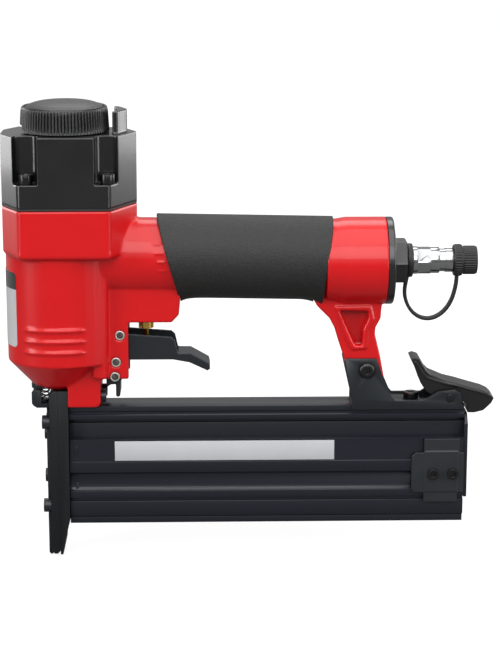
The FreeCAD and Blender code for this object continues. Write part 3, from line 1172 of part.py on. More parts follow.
def latch_lever():
    lever = plate_y(latch_outline(), -LATCH_HALF_WIDTH, LATCH_HALF_WIDTH)
    x, z = LATCH_PIN
    room_half = LATCH_SPRING_HALF + SIDE_GAP
    room_r = LATCH_SPRING_R + LATCH_SPRING_WIRE + SIDE_GAP
    room = cyl_y(x, z, room_r, -room_half, room_half)
    room = room.fuse(sided(x - room_r, x + room_r, room_half, z - 2 * room_r, z))
    return lever.cut(room).cut(cyl_y(x, z, LATCH_PIN_R + PIN_FIT, -LATCH_HALF_WIDTH - EPS, LATCH_HALF_WIDTH + EPS))


def latch_pin():
    half = BRACKET_HALF_INNER + BRACKET_SHEET + 0.2
    return cyl_y(*LATCH_PIN, LATCH_PIN_R - PRESS_FIT, -half, half)


def latch_spring():
    half = LATCH_SPRING_HALF
    spring = turned_to_y(coil_z(0, 0, LATCH_SPRING_R, LATCH_SPRING_WIRE, -half, half, 3))
    spring.translate(V(LATCH_PIN[0], 0, LATCH_PIN[1]))
    return spring


# ---- the whole tool ---------------------------------------------------------
def all_nodes():
    return {
        "body_casting": body_casting(), "rubber_grip": rubber_grip(),
        "cylinder_cap": cylinder_cap(), "cap_gasket": cap_gasket(), "cap_screws": cap_screws(),
        "exhaust_deflector": exhaust_deflector(), "deflector_cover": deflector_cover(),
        "deflector_bolt": deflector_bolt(),
        "cylinder_sleeve": cylinder_sleeve(), "sleeve_seals": sleeve_seals(), "bumper": bumper(),
        "piston": piston(), "piston_ring": piston_ring(), "blade_pin": blade_pin(),
        "driver_blade": driver_blade(),
        "head_valve": head_valve(), "head_valve_ring": head_valve_ring(),
        "head_valve_spring": head_valve_spring(),
        "valve_housing": valve_housing(), "housing_seal": housing_ring(), "valve_stem": valve_stem(),
        "stem_seal": stem_seal(), "valve_spring": valve_spring(),
        "trigger": trigger(), "trigger_pin": cross_pin(TRIGGER_PIN), "stop_pin": cross_pin(STOP_PIN),
        "lock_pin": cross_pin(LOCK_PIN), "trigger_lock": trigger_lock(),
        "end_cap": end_cap(), "end_cap_seal": end_cap_ring(), "air_plug": air_plug(),
        "dust_cap": dust_cap(), "dust_cap_strap": dust_cap_strap(),
        "nose_front_plate": nose_front_plate(), "nose_rear_plate": nose_rear_plate(),
        "nose_screws": nose_screws(), "block_screws": block_screws(),
        "contact_safety": contact_safety(), "safety_hook": safety_hook(), "safety_spring": safety_spring(),
        "spring_seat": spring_seat(),
        "magazine_rail": magazine_rail(), "magazine_slide": magazine_slide(),
        "slide_end_plate": slide_end_plate(), "pusher": pusher(), "pusher_rod": pusher_rod(),
        "pusher_spring": pusher_spring(), "magazine_label": magazine_label(), "front_label": front_label(),
        "keeper_plate": keeper_plate(), "keeper_screws": keeper_screws(),
        "magazine_bracket": magazine_bracket(), "bracket_screw": bracket_screw(),
        "bracket_nut": bracket_nut(), "base_screw": base_screw(),
        "latch_lever": latch_lever(), "latch_pin": latch_pin(), "latch_spring": latch_spring(),
    }


def main():
    os.makedirs("parts", exist_ok=True)
    for name, shape in all_nodes().items():
        shape.exportStep("parts/" + name + ".step")
        print(name, len(shape.Solids), round(shape.Volume, 1), shape.isValid())


main()
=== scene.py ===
import math
import json

import bmesh
import bpy
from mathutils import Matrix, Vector


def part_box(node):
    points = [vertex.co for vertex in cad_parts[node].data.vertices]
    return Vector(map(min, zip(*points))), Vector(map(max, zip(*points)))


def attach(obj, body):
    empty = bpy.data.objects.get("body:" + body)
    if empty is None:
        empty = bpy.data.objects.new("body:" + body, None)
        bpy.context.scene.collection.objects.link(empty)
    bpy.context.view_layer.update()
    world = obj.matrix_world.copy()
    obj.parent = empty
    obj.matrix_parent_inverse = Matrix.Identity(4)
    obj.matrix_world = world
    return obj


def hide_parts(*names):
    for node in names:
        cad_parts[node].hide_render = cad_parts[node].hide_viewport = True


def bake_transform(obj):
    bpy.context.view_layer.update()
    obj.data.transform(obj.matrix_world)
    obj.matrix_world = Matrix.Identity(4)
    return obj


MM = 0.001
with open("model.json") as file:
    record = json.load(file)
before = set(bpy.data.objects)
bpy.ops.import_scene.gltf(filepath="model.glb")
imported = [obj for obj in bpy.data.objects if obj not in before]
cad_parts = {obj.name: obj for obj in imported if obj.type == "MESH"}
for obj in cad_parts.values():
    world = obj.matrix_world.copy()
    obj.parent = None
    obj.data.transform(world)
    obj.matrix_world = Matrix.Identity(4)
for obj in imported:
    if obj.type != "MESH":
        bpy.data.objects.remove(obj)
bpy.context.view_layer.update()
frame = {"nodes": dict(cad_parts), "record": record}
NODES = frame["nodes"]
BODY_OF = {n: b for b, ns in frame["record"]["behaviour"]["bodies"].items() for n in ns}
SLOT_OF = {p["node"]: p["material_slot"] for p in frame["record"]["subparts"]}

# Places and sizes of the frame that several forms share, in mm
BARREL_R = 25.4
HANDLE_Z = 157.2            # line of the handle's rear end, the plug and the dust cap
LATCH_PIN = (204.1, 85.8)   # X and Z


# ---- camera, floor and light --------------------------------------------------
def set_camera():
    """Long lens from the -Y side, a little above."""
    data = bpy.data.cameras.new("camera")
    data.lens = 106.5
    data.sensor_width = 36.0
    data.clip_start, data.clip_end = 0.05, 50.0
    cam = bpy.data.objects.new("camera", data)
    bpy.context.scene.collection.objects.link(cam)
    direction = Vector((0.02297, 0.97488, -0.22155))
    cam.location = Vector((0.10006, 0.0, 0.12322)) - direction
    cam.rotation_euler = direction.to_track_quat("-Z", "Y").to_euler()
    bpy.context.scene.camera = cam


def nodes_of(material):
    material.use_nodes = True
    return material.node_tree.nodes, material.node_tree.links


FLOOR_HALF = 6.0             # metres
FLOOR_DROP = 0.0003
GLOW_NEAR, GLOW_FAR = 0.86, 1.0      # floor's brightness to the camera, round the tool and away from it
AMBIENT = 0.11               # world's light on the object
MIRRORED = 0.35              # share of the white backdrop that gloss shows


def set_floor():
    """Pale floor that goes to white away from the tool and keeps its shadow."""
    mesh = bpy.data.meshes.new("floor")
    r = FLOOR_HALF
    mesh.from_pydata([(-r, -r, 0), (r, -r, 0), (r, r, 0), (-r, r, 0)], [], [(0, 1, 2, 3)])
    floor = bpy.data.objects.new("floor", mesh)
    floor.location.z = -FLOOR_DROP
    bpy.context.scene.collection.objects.link(floor)
    material = bpy.data.materials.new("floor")
    nodes, links = nodes_of(material)
    nodes.clear()
    out = nodes.new("ShaderNodeOutputMaterial")
    diffuse = nodes.new("ShaderNodeBsdfDiffuse")
    diffuse.inputs["Color"].default_value = (0.2, 0.2, 0.2, 1)
    glow = nodes.new("ShaderNodeEmission")
    path = nodes.new("ShaderNodeLightPath")
    place = nodes.new("ShaderNodeTexCoord")
    away = nodes.new("ShaderNodeVectorMath")
    away.operation = "LENGTH"
    links.new(place.outputs["Object"], away.inputs[0])
    level = nodes.new("ShaderNodeMapRange")
    level.inputs["From Min"].default_value = 0.25
    level.inputs["From Max"].default_value = 0.8
    level.inputs["To Min"].default_value = GLOW_NEAR
    level.inputs["To Max"].default_value = GLOW_FAR
    links.new(away.outputs["Value"], level.inputs["Value"])
    seen = nodes.new("ShaderNodeMath")
    seen.operation = "MULTIPLY"
    links.new(path.outputs["Is Camera Ray"], seen.inputs[0])
    links.new(level.outputs["Result"], seen.inputs[1])
    links.new(seen.outputs[0], glow.inputs["Strength"])
    both = nodes.new("ShaderNodeAddShader")
    links.new(diffuse.outputs[0], both.inputs[0])
    links.new(glow.outputs[0], both.inputs[1])
    links.new(both.outputs[0], out.inputs["Surface"])
    mesh.materials.append(material)


def set_world():
    """White to the camera, dim as a light, and partly seen in gloss."""
    world = bpy.data.worlds.new("studio")
    bpy.context.scene.world = world
    world.use_nodes = True
    nodes, links = world.node_tree.nodes, world.node_tree.links
    nodes.clear()
    out = nodes.new("ShaderNodeOutputWorld")
    back = nodes.new("ShaderNodeBackground")
    path = nodes.new("ShaderNodeLightPath")
    back.inputs["Color"].default_value = (1, 1, 1, 1)
    direct = nodes.new("ShaderNodeMath")
    direct.operation = "MAXIMUM"
    links.new(path.outputs["Is Camera Ray"], direct.inputs[0])
    links.new(path.outputs["Is Transmission Ray"], direct.inputs[1])
    mirrored = nodes.new("ShaderNodeMath")
    mirrored.operation = "MULTIPLY_ADD"
    mirrored.use_clamp = True
    mirrored.inputs[1].default_value = MIRRORED
    links.new(path.outputs["Is Glossy Ray"], mirrored.inputs[0])
    links.new(direct.outputs[0], mirrored.inputs[2])
    level = nodes.new("ShaderNodeMath")
    level.operation = "MULTIPLY_ADD"
    level.inputs[1].default_value = 1.0 - AMBIENT
    level.inputs[2].default_value = AMBIENT
    links.new(mirrored.outputs[0], level.inputs[0])
    links.new(level.outputs[0], back.inputs["Strength"])
    links.new(back.outputs[0], out.inputs["Surface"])


def area_light(name, place, target, width, height, watts):
    data = bpy.data.lights.new(name, "AREA")
    data.shape = "RECTANGLE"
    data.size, data.size_y = width, height
    data.energy = watts
    light = bpy.data.objects.new(name, data)
    light.location = Vector(place)
    light.rotation_euler = (Vector(target) - Vector(place)).to_track_quat("-Z", "Y").to_euler()
    bpy.context.scene.collection.objects.link(light)


def set_lights():
    middle = (0.10, 0.0, 0.13)
    area_light("top", (0.10, -0.25, 1.10), middle, 1.3, 0.9, 9.0)
    area_light("left", (-0.95, -0.60, 0.40), middle, 0.35, 1.0, 8.0)
    area_light("right", (1.15, -0.50, 0.45), middle, 0.35, 1.0, 8.0)
    area_light("front", (0.05, -1.3, 0.95), middle, 1.4, 0.9, 16.0)
    area_light("back", (0.1, 0.9, 1.35), middle, 1.0, 0.6, 7.0)
    area_light("back_left", (-1.0, 1.0, 0.35), middle, 0.5, 0.8, 6.0)
    area_light("back_right", (1.2, 1.0, 0.35), middle, 0.5, 0.8, 6.0)


# ---- materials ----------------------------------------------------------------
def material(name, color, rough, metal=0.0, coat=0.0, coat_rough=0.08, specular=0.5,
             grain=0.0, grain_scale=900.0, mottle=0.08, mottle_scale=60.0, stretch=(1, 1, 1)):
    """Principled surface with a little noise in its colour and roughness, and a fine relief."""
    made = bpy.data.materials.new(name)
    nodes, links = nodes_of(made)
    shader = nodes["Principled BSDF"]
    shader.inputs["Metallic"].default_value = metal
    shader.inputs["Specular IOR Level"].default_value = specular
    shader.inputs["Coat Weight"].default_value = coat
    shader.inputs["Coat Roughness"].default_value = coat_rough
    place = nodes.new("ShaderNodeTexCoord")
    scaled = nodes.new("ShaderNodeMapping")
    scaled.inputs["Scale"].default_value = stretch
    links.new(place.outputs["Object"], scaled.inputs["Vector"])
    broad = nodes.new("ShaderNodeTexNoise")
    broad.inputs["Scale"].default_value = mottle_scale
    broad.inputs["Detail"].default_value = 4.0
    links.new(scaled.outputs[0], broad.inputs["Vector"])
    ramp = nodes.new("ShaderNodeValToRGB")
    ramp.color_ramp.elements[0].position = 0.3
    ramp.color_ramp.elements[1].position = 0.7
    ramp.color_ramp.elements[0].color = tuple(c * (1 - mottle) for c in color) + (1,)
    ramp.color_ramp.elements[1].color = tuple(min(1.0, c * (1 + mottle)) for c in color) + (1,)
    links.new(broad.outputs["Fac"], ramp.inputs["Fac"])
    links.new(ramp.outputs["Color"], shader.inputs["Base Color"])
    spread = nodes.new("ShaderNodeMapRange")
    spread.inputs["To Min"].default_value = max(0.02, rough - 0.04)
    spread.inputs["To Max"].default_value = min(1.0, rough + 0.04)
    links.new(broad.outputs["Fac"], spread.inputs["Value"])
    links.new(spread.outputs["Result"], shader.inputs["Roughness"])
    if grain:
        fine = nodes.new("ShaderNodeTexNoise")
        fine.inputs["Scale"].default_value = grain_scale
        fine.inputs["Detail"].default_value = 3.0
        links.new(scaled.outputs[0], fine.inputs["Vector"])
        bump = nodes.new("ShaderNodeBump")
        bump.inputs["Strength"].default_value = grain
        bump.inputs["Distance"].default_value = 0.0004
        links.new(fine.outputs["Fac"], bump.inputs["Height"])
        links.new(bump.outputs["Normal"], shader.inputs["Normal"])
    return made


def make_materials():
    """One finish for each slot of the frame, and four for parts of a piece."""
    return {
        "red_paint": material("red_paint", (0.53, 0.0025, 0.0045), 0.36, specular=0.3,
                              coat=0.3, coat_rough=0.09, mottle=0.015),
        "black_gloss_paint": material("black_gloss_paint", (0.005, 0.005, 0.0055), 0.3, coat=0.35,
                                      coat_rough=0.1, mottle=0.1),
        "knob_plastic": material("knob_plastic", (0.008, 0.008, 0.009), 0.3, specular=0.5),
        "cover_plastic": material("cover_plastic", (0.030, 0.030, 0.031), 0.48, grain=0.12, grain_scale=2600),
        "grip_rubber": material("grip_rubber", (0.011, 0.012, 0.011), 0.56, specular=0.4, grain=1.0,
                                grain_scale=1300, mottle=0.45, mottle_scale=900),
        "soft_rubber": material("soft_rubber", (0.010, 0.010, 0.010), 0.5, specular=0.4),
        "seal_rubber": material("seal_rubber", (0.012, 0.012, 0.012), 0.55),
        "black_steel": material("black_steel", (0.010, 0.0125, 0.0155), 0.36, specular=0.4),
        "screw_steel": material("screw_steel", (0.003, 0.003, 0.0035), 0.28, specular=0.5),
        "nose_steel": material("nose_steel", (0.005, 0.006, 0.007), 0.38, specular=0.4),
        "black_anodised": material("black_anodised", (0.0075, 0.0095, 0.0150), 0.3, specular=0.42, grain=0.05,
                                   grain_scale=500, stretch=(0.05, 1, 1)),
        "keeper_steel": material("keeper_steel", (0.014, 0.0165, 0.020), 0.42, specular=0.4),
        "latch_zinc": material("latch_zinc", (0.007, 0.007, 0.0075), 0.3, specular=0.45, grain=0.12,
                               grain_scale=700),
        "end_cap_paint": material("end_cap_paint", (0.008, 0.008, 0.009), 0.3, coat=0.3),
        "chrome": material("chrome", (0.36, 0.365, 0.37), 0.16, metal=1.0, mottle=0.02),
        "pin_steel": material("pin_steel", (0.62, 0.60, 0.57), 0.42, metal=0.85,
                              mottle=0.15, mottle_scale=500),
        "pin_face": material("pin_face", (0.10, 0.09, 0.08), 0.5, metal=0.8, mottle=0.6, mottle_scale=900,
                             grain=0.5, grain_scale=1500),
        "sticker_head": material("sticker_head", (0.03, 0.03, 0.03), 0.35, coat=0.2, mottle=0.02),
        "spring_steel": material("spring_steel", (0.5, 0.5, 0.5), 0.25, metal=1.0),
        "bare_aluminium": material("bare_aluminium", (0.6, 0.6, 0.61), 0.35, metal=1.0),
        "valve_plastic": material("valve_plastic", (0.04, 0.04, 0.04), 0.5),
        "brass": material("brass", (0.62, 0.40, 0.10), 0.25, metal=1.0),
        "label_film": material("label_film", (0.46, 0.47, 0.49), 0.32, coat=0.2, mottle=0.02),
        "sticker_film": material("sticker_film", (0.46, 0.46, 0.47), 0.35, coat=0.2, mottle=0.02),
    }


SCREWS = ("bracket_screw", "bracket_nut", "keeper_screws", "base_screw", "latch_pin", "cap_screws")


# ---- pieces made from the frame ------------------------------------------------
def settled(piece):
    """A mesh with the object's modifiers applied."""
    bpy.context.view_layer.update()
    graph = bpy.context.evaluated_depsgraph_get()
    mesh = bpy.data.meshes.new_from_object(piece.evaluated_get(graph))
    piece.modifiers.clear()
    old = piece.data
    piece.data = mesh
    bpy.data.meshes.remove(old)
    return piece


def copy_of(node, name):
    """A free mesh like the node's, with its doubled corners joined."""
    mesh = NODES[node].data.copy()
    mesh.name = name
    work = bmesh.new()
    work.from_mesh(mesh)
    bmesh.ops.remove_doubles(work, verts=work.verts, dist=2e-6)
    work.to_mesh(mesh)
    work.free()
    if "custom_normal" in mesh.attributes:
        mesh.attributes.remove(mesh.attributes["custom_normal"])
    piece = bpy.data.objects.new(name, mesh)
    bpy.context.scene.collection.objects.link(piece)
    return piece


def dressed(piece, node, smooth_angle=None):
    """The finished piece stands for the node: it gets the node's finish and rides on its body."""
    mesh = piece.data
    mesh.materials.clear()
    mesh.materials.append(MATERIALS["screw_steel" if node in SCREWS else SLOT_OF[node]])
    for face in mesh.polygons:
        face.material_index = 0
        face.use_smooth = True
    if smooth_angle is not None:
        mesh.set_sharp_from_angle(angle=math.radians(smooth_angle))
    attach(piece, BODY_OF[node])
    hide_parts(node)
    return piece


def merged(piece, others):
    """Take the other meshes into the piece; they are removed."""
    work = bmesh.new()
    work.from_mesh(piece.data)
    for other in others:
        work.from_mesh(other.data)
        bpy.data.objects.remove(other)
    work.to_mesh(piece.data)
    work.free()


def carved(piece, cutters):
    """Cut the other meshes out of the piece; they are removed."""
    for cutter in cutters:
        cut = piece.modifiers.new("cut", "BOOLEAN")
        cut.operation = "DIFFERENCE"
        cut.solver = "EXACT"
        cut.object = cutter
    settled(piece)
    for cutter in cutters:
        bpy.data.objects.remove(cutter)


def softened(node, voxel, passes, added=(), removed=()):
    """A copy of a node with its edges rounded, as on a casting or a moulding."""
    piece = copy_of(node, node + "_form")
    if removed:
        carved(piece, removed)
    merged(piece, added)
    remesh = piece.modifiers.new("remesh", "REMESH")
    remesh.mode = "VOXEL"
    remesh.voxel_size = voxel * MM
    remesh.adaptivity = 0.0
    smooth = piece.modifiers.new("smooth", "SMOOTH")
    smooth.factor = 0.5
    smooth.iterations = passes
    settled(piece)
    return dressed(piece, node)


BEVEL_ANGLE = math.radians(28.0)     # sharper outward edges than this are rounded


def bevelled(node, width, added=()):
    """A copy of a node with its outward edges rounded a little."""
    piece = copy_of(node, node + "_form")
    if added:
        joined(piece, added)
    work = bmesh.new()
    work.from_mesh(piece.data)
    bmesh.ops.dissolve_limit(work, angle_limit=math.radians(1.0), verts=work.verts, edges=work.edges)
    weight = work.edges.layers.float.new("bevel_weight_edge")
    for edge in work.edges:
        if len(edge.link_faces) == 2 and edge.calc_face_angle_signed() > BEVEL_ANGLE:
            edge[weight] = 1.0
    work.to_mesh(piece.data)
    work.free()
    bevel = piece.modifiers.new("bevel", "BEVEL")
    bevel.width = width * MM
    bevel.segments = 2
    bevel.limit_method = "WEIGHT"
    bevel.harden_normals = False
    bevel.use_clamp_overlap = True
    settled(piece)
    return dressed(piece, node, smooth_angle=40.0)


def mesh_piece(name, points, faces):
    mesh = bpy.data.meshes.new(name)
    mesh.from_pydata([tuple(c * MM for c in p) for p in points], [], faces)
    mesh.validate()
    piece = bpy.data.objects.new(name, mesh)
    bpy.context.scene.collection.objects.link(piece)
    fix_normals(piece)
    return piece


def lathe(name, centre, profile, steps, wave=None):
    """Closed ring of (radius, height) points turned about +Z; wave(angle, index) adds to the radius."""
    points, faces = [], []
    count = len(profile)
    for i in range(steps):
        turn = 2 * math.pi * i / steps
        for k, (r, z) in enumerate(profile):
            extra = wave(turn, k) if wave else 0.0
            reach = r + extra
            points.append((centre[0] + reach * math.cos(turn), centre[1] + reach * math.sin(turn), z))
    for i in range(steps):
        for k in range(count):
            a, b = i * count + k, i * count + (k + 1) % count
            c, d = (a + count) % (steps * count), (b + count) % (steps * count)
            faces.append((a, c, d, b))
    return mesh_piece(name, points, faces)


def prism(name, outline, low, high, axis="z"):
    """Outline extruded between two levels: of X, Y along z, or of X, Z along y."""
    count = len(outline)
    if axis == "z":
        points = [(a, b, low) for a, b in outline] + [(a, b, high) for a, b in outline]
    else:
        points = [(a, low, b) for a, b in outline] + [(a, high, b) for a, b in outline]
    faces = [tuple(range(count)), tuple(range(2 * count - 1, count - 1, -1))]
    faces += [(i, i + count, (i + 1) % count + count, (i + 1) % count) for i in range(count)]
    return mesh_piece(name, points, faces)


def rod(name, path, radius, sides=12, closed=False):
    """Round bar along a path, of one radius or one for each point."""
    points, faces = [], []
    count = len(path)
    places = [Vector(p) for p in path]
    for i, p in enumerate(places):
        before = places[(i - 1) % count] if closed or i else p
        after = places[(i + 1) % count] if closed or i < count - 1 else p
        along = (after - before).normalized()
        side = along.cross(Vector((0, 1, 0)) if abs(along.y) < 0.8 else Vector((0, 0, 1))).normalized()
        up = side.cross(along)
        r = radius[i] if isinstance(radius, (list, tuple)) else radius
        for k in range(sides):
            turn = 2 * math.pi * k / sides
            points.append(tuple(p + r * (math.cos(turn) * side + math.sin(turn) * up)))
    rings = count if closed else count - 1
    for i in range(rings):
        for k in range(sides):
            a, b = i * sides + k, i * sides + (k + 1) % sides
            c, d = ((i + 1) % count) * sides + k, ((i + 1) % count) * sides + (k + 1) % sides
            faces.append((a, b, d, c))
    if not closed:
        faces.append(tuple(range(sides - 1, -1, -1)))
        faces.append(tuple((count - 1) * sides + k for k in range(sides)))
    return mesh_piece(name, points, faces)


def lathe_x(name, z, profile, steps):
    """Closed ring of (radius, x) points turned about a line along X at height z."""
    points, faces = [], []
    count = len(profile)
    for i in range(steps):
        turn = 2 * math.pi * i / steps
        points += [(x, r * math.cos(turn), z + r * math.sin(turn)) for r, x in profile]
    for i in range(steps):
        for k in range(count):
            a, b = i * count + k, i * count + (k + 1) % count
            faces.append((a, (a + count) % (steps * count), (b + count) % (steps * count), b))
    return mesh_piece(name, points, faces)


def joined(piece, forms):
    """Weld the other meshes onto the piece; they are removed."""
    for form in forms:
        union = piece.modifiers.new("union", "BOOLEAN")
        union.operation = "UNION"
        union.solver = "EXACT"
        union.object = form
    settled(piece)
    for form in forms:
        bpy.data.objects.remove(form)


def fix_normals(piece):
    """Turn all faces outward."""
    work = bmesh.new()
    work.from_mesh(piece.data)
    bmesh.ops.recalc_face_normals(work, faces=work.faces)
    work.to_mesh(piece.data)
    work.free()


def smooth_line(points, steps):
    """Points of a Catmull-Rom line through the given ones."""
    def between(a, b, c, d, t):
        return 0.5 * (2 * b + (c - a) * t + (2 * a - 5 * b + 4 * c - d) * t * t
                      + (3 * b - a - 3 * c + d) * t ** 3)
    out = []
    for i in range(len(points) - 1):
        p0, p1 = points[max(i - 1, 0)], points[i]
        p2, p3 = points[i + 1], points[min(i + 2, len(points) - 1)]
        for k in range(steps):
            out.append(tuple(between(a, b, c, d, k / steps) for a, b, c, d in zip(p0, p1, p2, p3)))
    out.append(points[-1])
    return out


def side_of(node, x, z):
    """Y of the node's skin on the -Y side, in mm."""
    hit, place, _, _ = NODES[node].ray_cast(Vector((x * MM, -0.1, z * MM)), Vector((0, 1, 0)))
    assert hit
    return place.y / MM


def mesh_box(name, low, high):
    xs, ys, zs = zip(low, high)
    points = [(x, y, z) for x in xs for y in ys for z in zs]
    faces = [(0, 1, 3, 2), (4, 6, 7, 5), (0, 4, 5, 1), (2, 3, 7, 6), (0, 2, 6, 4), (1, 5, 7, 3)]
    return mesh_piece(name, points, faces)


# ---- red casting ----------------------------------------------------------------
# Outlines in mm: X, Y of the head from above; X and half width of the barrel's shoulder; X, Z of the
# leg's pocket
HEAD_PLAN = ((-26.0, -9.0), (-16.0, -28.5), (29.5, -28.5), (42.2, -1.0), (42.2, 1.0), (29.5, 28.5),
             (-16.0, 28.5), (-26.0, 9.0))
SHOULDER = ((4.0, 25.2), (10.0, 24.6), (16.0, 22.8), (21.0, 20.2), (25.0, 16.8), (27.2, 13.0), (27.4, 10.6),
            (24.0, 10.2), (21.5, 13.5), (18.0, 17.0), (13.0, 20.8), (8.0, 23.0), (4.0, 24.0))
LEG_POCKET = ((144.6, 133.8), (161.7, 133.8), (162.6, 128.0), (159.9, 122.0), (159.4, 113.2), (153.2, 112.9),
              (149.6, 120.0))


def plan_reach(turn, inset):
    """Distance from the barrel's axis to the head's outline in a direction."""
    ray = (math.cos(turn), math.sin(turn))
    best = 1e9
    for (x0, y0), (x1, y1) in zip(HEAD_PLAN, HEAD_PLAN[1:] + HEAD_PLAN[:1]):
        nx, ny = y1 - y0, x0 - x1
        length = math.hypot(nx, ny)
        nx, ny = nx / length, ny / length
        facing = nx * ray[0] + ny * ray[1]
        if facing > 1e-6:
            best = min(best, (nx * x0 + ny * y0 - inset) / facing)
    return best


def head_skirt():
    """Slope between the underside of the head and the barrel."""
    steps = 180
    bands = [(0.0, 166.5), (0.0, 164.6), (0.7, 163.6), (1.8, 163.0), (3.2, 162.6)]
    points, faces = [], []
    for i in range(steps):
        turn = 2 * math.pi * i / steps
        for inset, z in bands:
            r = max(plan_reach(turn, inset), 24.2)
            points.append((r * math.cos(turn), r * math.sin(turn), z))
        points.append((23.4 * math.cos(turn), 23.4 * math.sin(turn), bands[-1][1]))
        points.append((23.4 * math.cos(turn), 23.4 * math.sin(turn), bands[0][1]))
    count = len(bands) + 2
    for i in range(steps):
        for k in range(count):
            a, b = i * count + k, i * count + (k + 1) % count
            faces.append((a, (a + count) % (steps * count), (b + count) % (steps * count), b))
    return mesh_piece("skirt", points, faces)


def barrel_reach(x):
    """Half width of the barrel's side at X, with its shoulder."""
    reach = math.sqrt(BARREL_R ** 2 - x * x)
    for (x0, y0), (x1, y1) in zip(SHOULDER, SHOULDER[1:6]):
        if x0 <= x <= x1:
            reach = max(reach, y0 + (y1 - y0) * (x - x0) / (x1 - x0))
    return reach


def casting_forms():
    """Ribs, ridges and slopes that soften the casting."""
    forms = [head_skirt()]
    for side in (-1, 1):
        line = [(22.4, side * 13.4, 99.0), (23.0, side * 13.4, 130.0), (23.4, side * 13.6, 168.0)]
        forms.append(rod("ridge", line, 4.2))
        forms.append(prism("shoulder", [(x, side * y) for x, y in SHOULDER], 106.5, 168.0))
        for z in (126.0, 120.2, 114.4):
            path = [(x, side * (barrel_reach(x) + 0.05), z) for x in range(-16, 17, 2)]
            forms.append(rod("bead", path, [0.35] + [0.95] * (len(path) - 2) + [0.35]))
        rim = [(x, side * 7.4, z) for x, z in LEG_POCKET]
        forms.append(rod("rim", rim, 2.2, closed=True))
        for z in (169.0, 164.5, 160.0, 155.5):
            y = side_of("body_casting", 52.0, z)
            start = 50.6 + (169.0 - z) * 0.2
            forms.append(rod("mark", [(x, -side * (y + 0.1), z) for x in (start, start + 4.0)], 0.55))
    flare = [(16.8, 139.0), (20.6, 139.0), (21.4, 143.0), (22.2, 146.5), (22.6, 149.5), (22.6, 169.9),
             (16.8, 169.9)]
    forms.append(lathe_x("flare", HANDLE_Z, flare, 96))
    return forms


# ---- exhaust knob ---------------------------------------------------------------
KNOB_X = 6.0
KNOB_RIBS = 82
RIB_STEPS = 8


def make_knob():
    """Exhaust knob with fine ribs and an outlet at its foot."""
    bottom, top = 224.85, 237.8
    outer = [(22.45, bottom), (22.75, bottom + 0.25), (22.72, bottom + 0.9), (22.66, bottom + 1.5),
             (22.5, bottom + 4.0), (22.35, bottom + 6.5), (22.2, bottom + 9.0), (22.1, bottom + 10.0),
             (21.95, bottom + 11.2), (21.7, top - 0.9), (21.3, top - 0.35), (20.85, top - 0.08), (20.5, top),
             (20.25, top - 0.15), (20.15, top - 0.5)]
    inner = [(20.1, 232.2), (19.9, 232.0), (3.1, 232.0), (3.1, 229.5), (17.5, 229.5), (17.5, bottom)]
    ribbed = {2: 0.5, 3: 1.0, 4: 1.0, 5: 1.0, 6: 1.0, 7: 0.85, 8: 0.4}

    def wave(turn, k):
        if k not in ribbed:
            return 0.0
        phase = (turn * KNOB_RIBS / (2 * math.pi)) % 1.0
        return -0.85 * ribbed[k] * (0.5 - 0.5 * math.cos(2 * math.pi * phase)) ** 2
    knob = lathe("exhaust_deflector_form", (KNOB_X, 0.0), outer + inner, KNOB_RIBS * RIB_STEPS, wave)
    carved(knob, [mesh_box("cutter", (-18.0, -8.0, 224.0), (-10.0, 8.0, 228.5))])
    dressed(knob, "exhaust_deflector", smooth_angle=50.0)


def make_cover():
    """Crowned disc in the knob's top."""
    top, rim, radius = 240.5, 237.9, 19.4
    count = 24
    profile = []
    for i in range(count + 1):
        r = radius * i / count
        profile.append((max(r, 0.02), top - (top - rim) * (r / radius) ** 4 - 0.25 * (r / radius) ** 2))
    profile += [(19.7, rim - 0.5), (19.85, rim - 0.9), (19.85, 232.3), (7.4, 232.15), (7.4, 235.9),
                (0.02, 235.9)]
    cover = lathe("deflector_cover_form", (KNOB_X, 0.0), list(reversed(profile)), 96)
    dressed(cover, "deflector_cover", smooth_angle=40.0)


# ---- all pieces -----------------------------------------------------------------
SOFTENED = {                       # node: (voxel in mm, smoothing passes)
    "body_casting": (0.55, 7),
    "cylinder_cap": (0.4, 4),
    "rubber_grip": (0.45, 4),
    "latch_lever": (0.32, 5),
    "trigger": (0.3, 2),
    "trigger_lock": (0.3, 2),
    "dust_cap": (0.17, 2),
    "keeper_plate": (0.25, 3),
    "end_cap": (0.35, 2),
}
BEVELLED = {                       # node: width in mm
    "magazine_bracket": 0.35, "nose_front_plate": 0.5, "nose_rear_plate": 0.5, "magazine_rail": 0.22,
    "magazine_slide": 0.22, "slide_end_plate": 0.35, "keeper_screws": 0.25,
    "cap_screws": 0.3, "nose_screws": 0.3, "bracket_screw": 0.2, "bracket_nut": 0.3, "base_screw": 0.3,
    "contact_safety": 0.25, "safety_hook": 0.25, "spring_seat": 0.3, "air_plug": 0.2,
    "latch_pin": 0.3, "valve_stem": 0.15,
    "magazine_label": 0.08, "cap_gasket": 0.2,
}


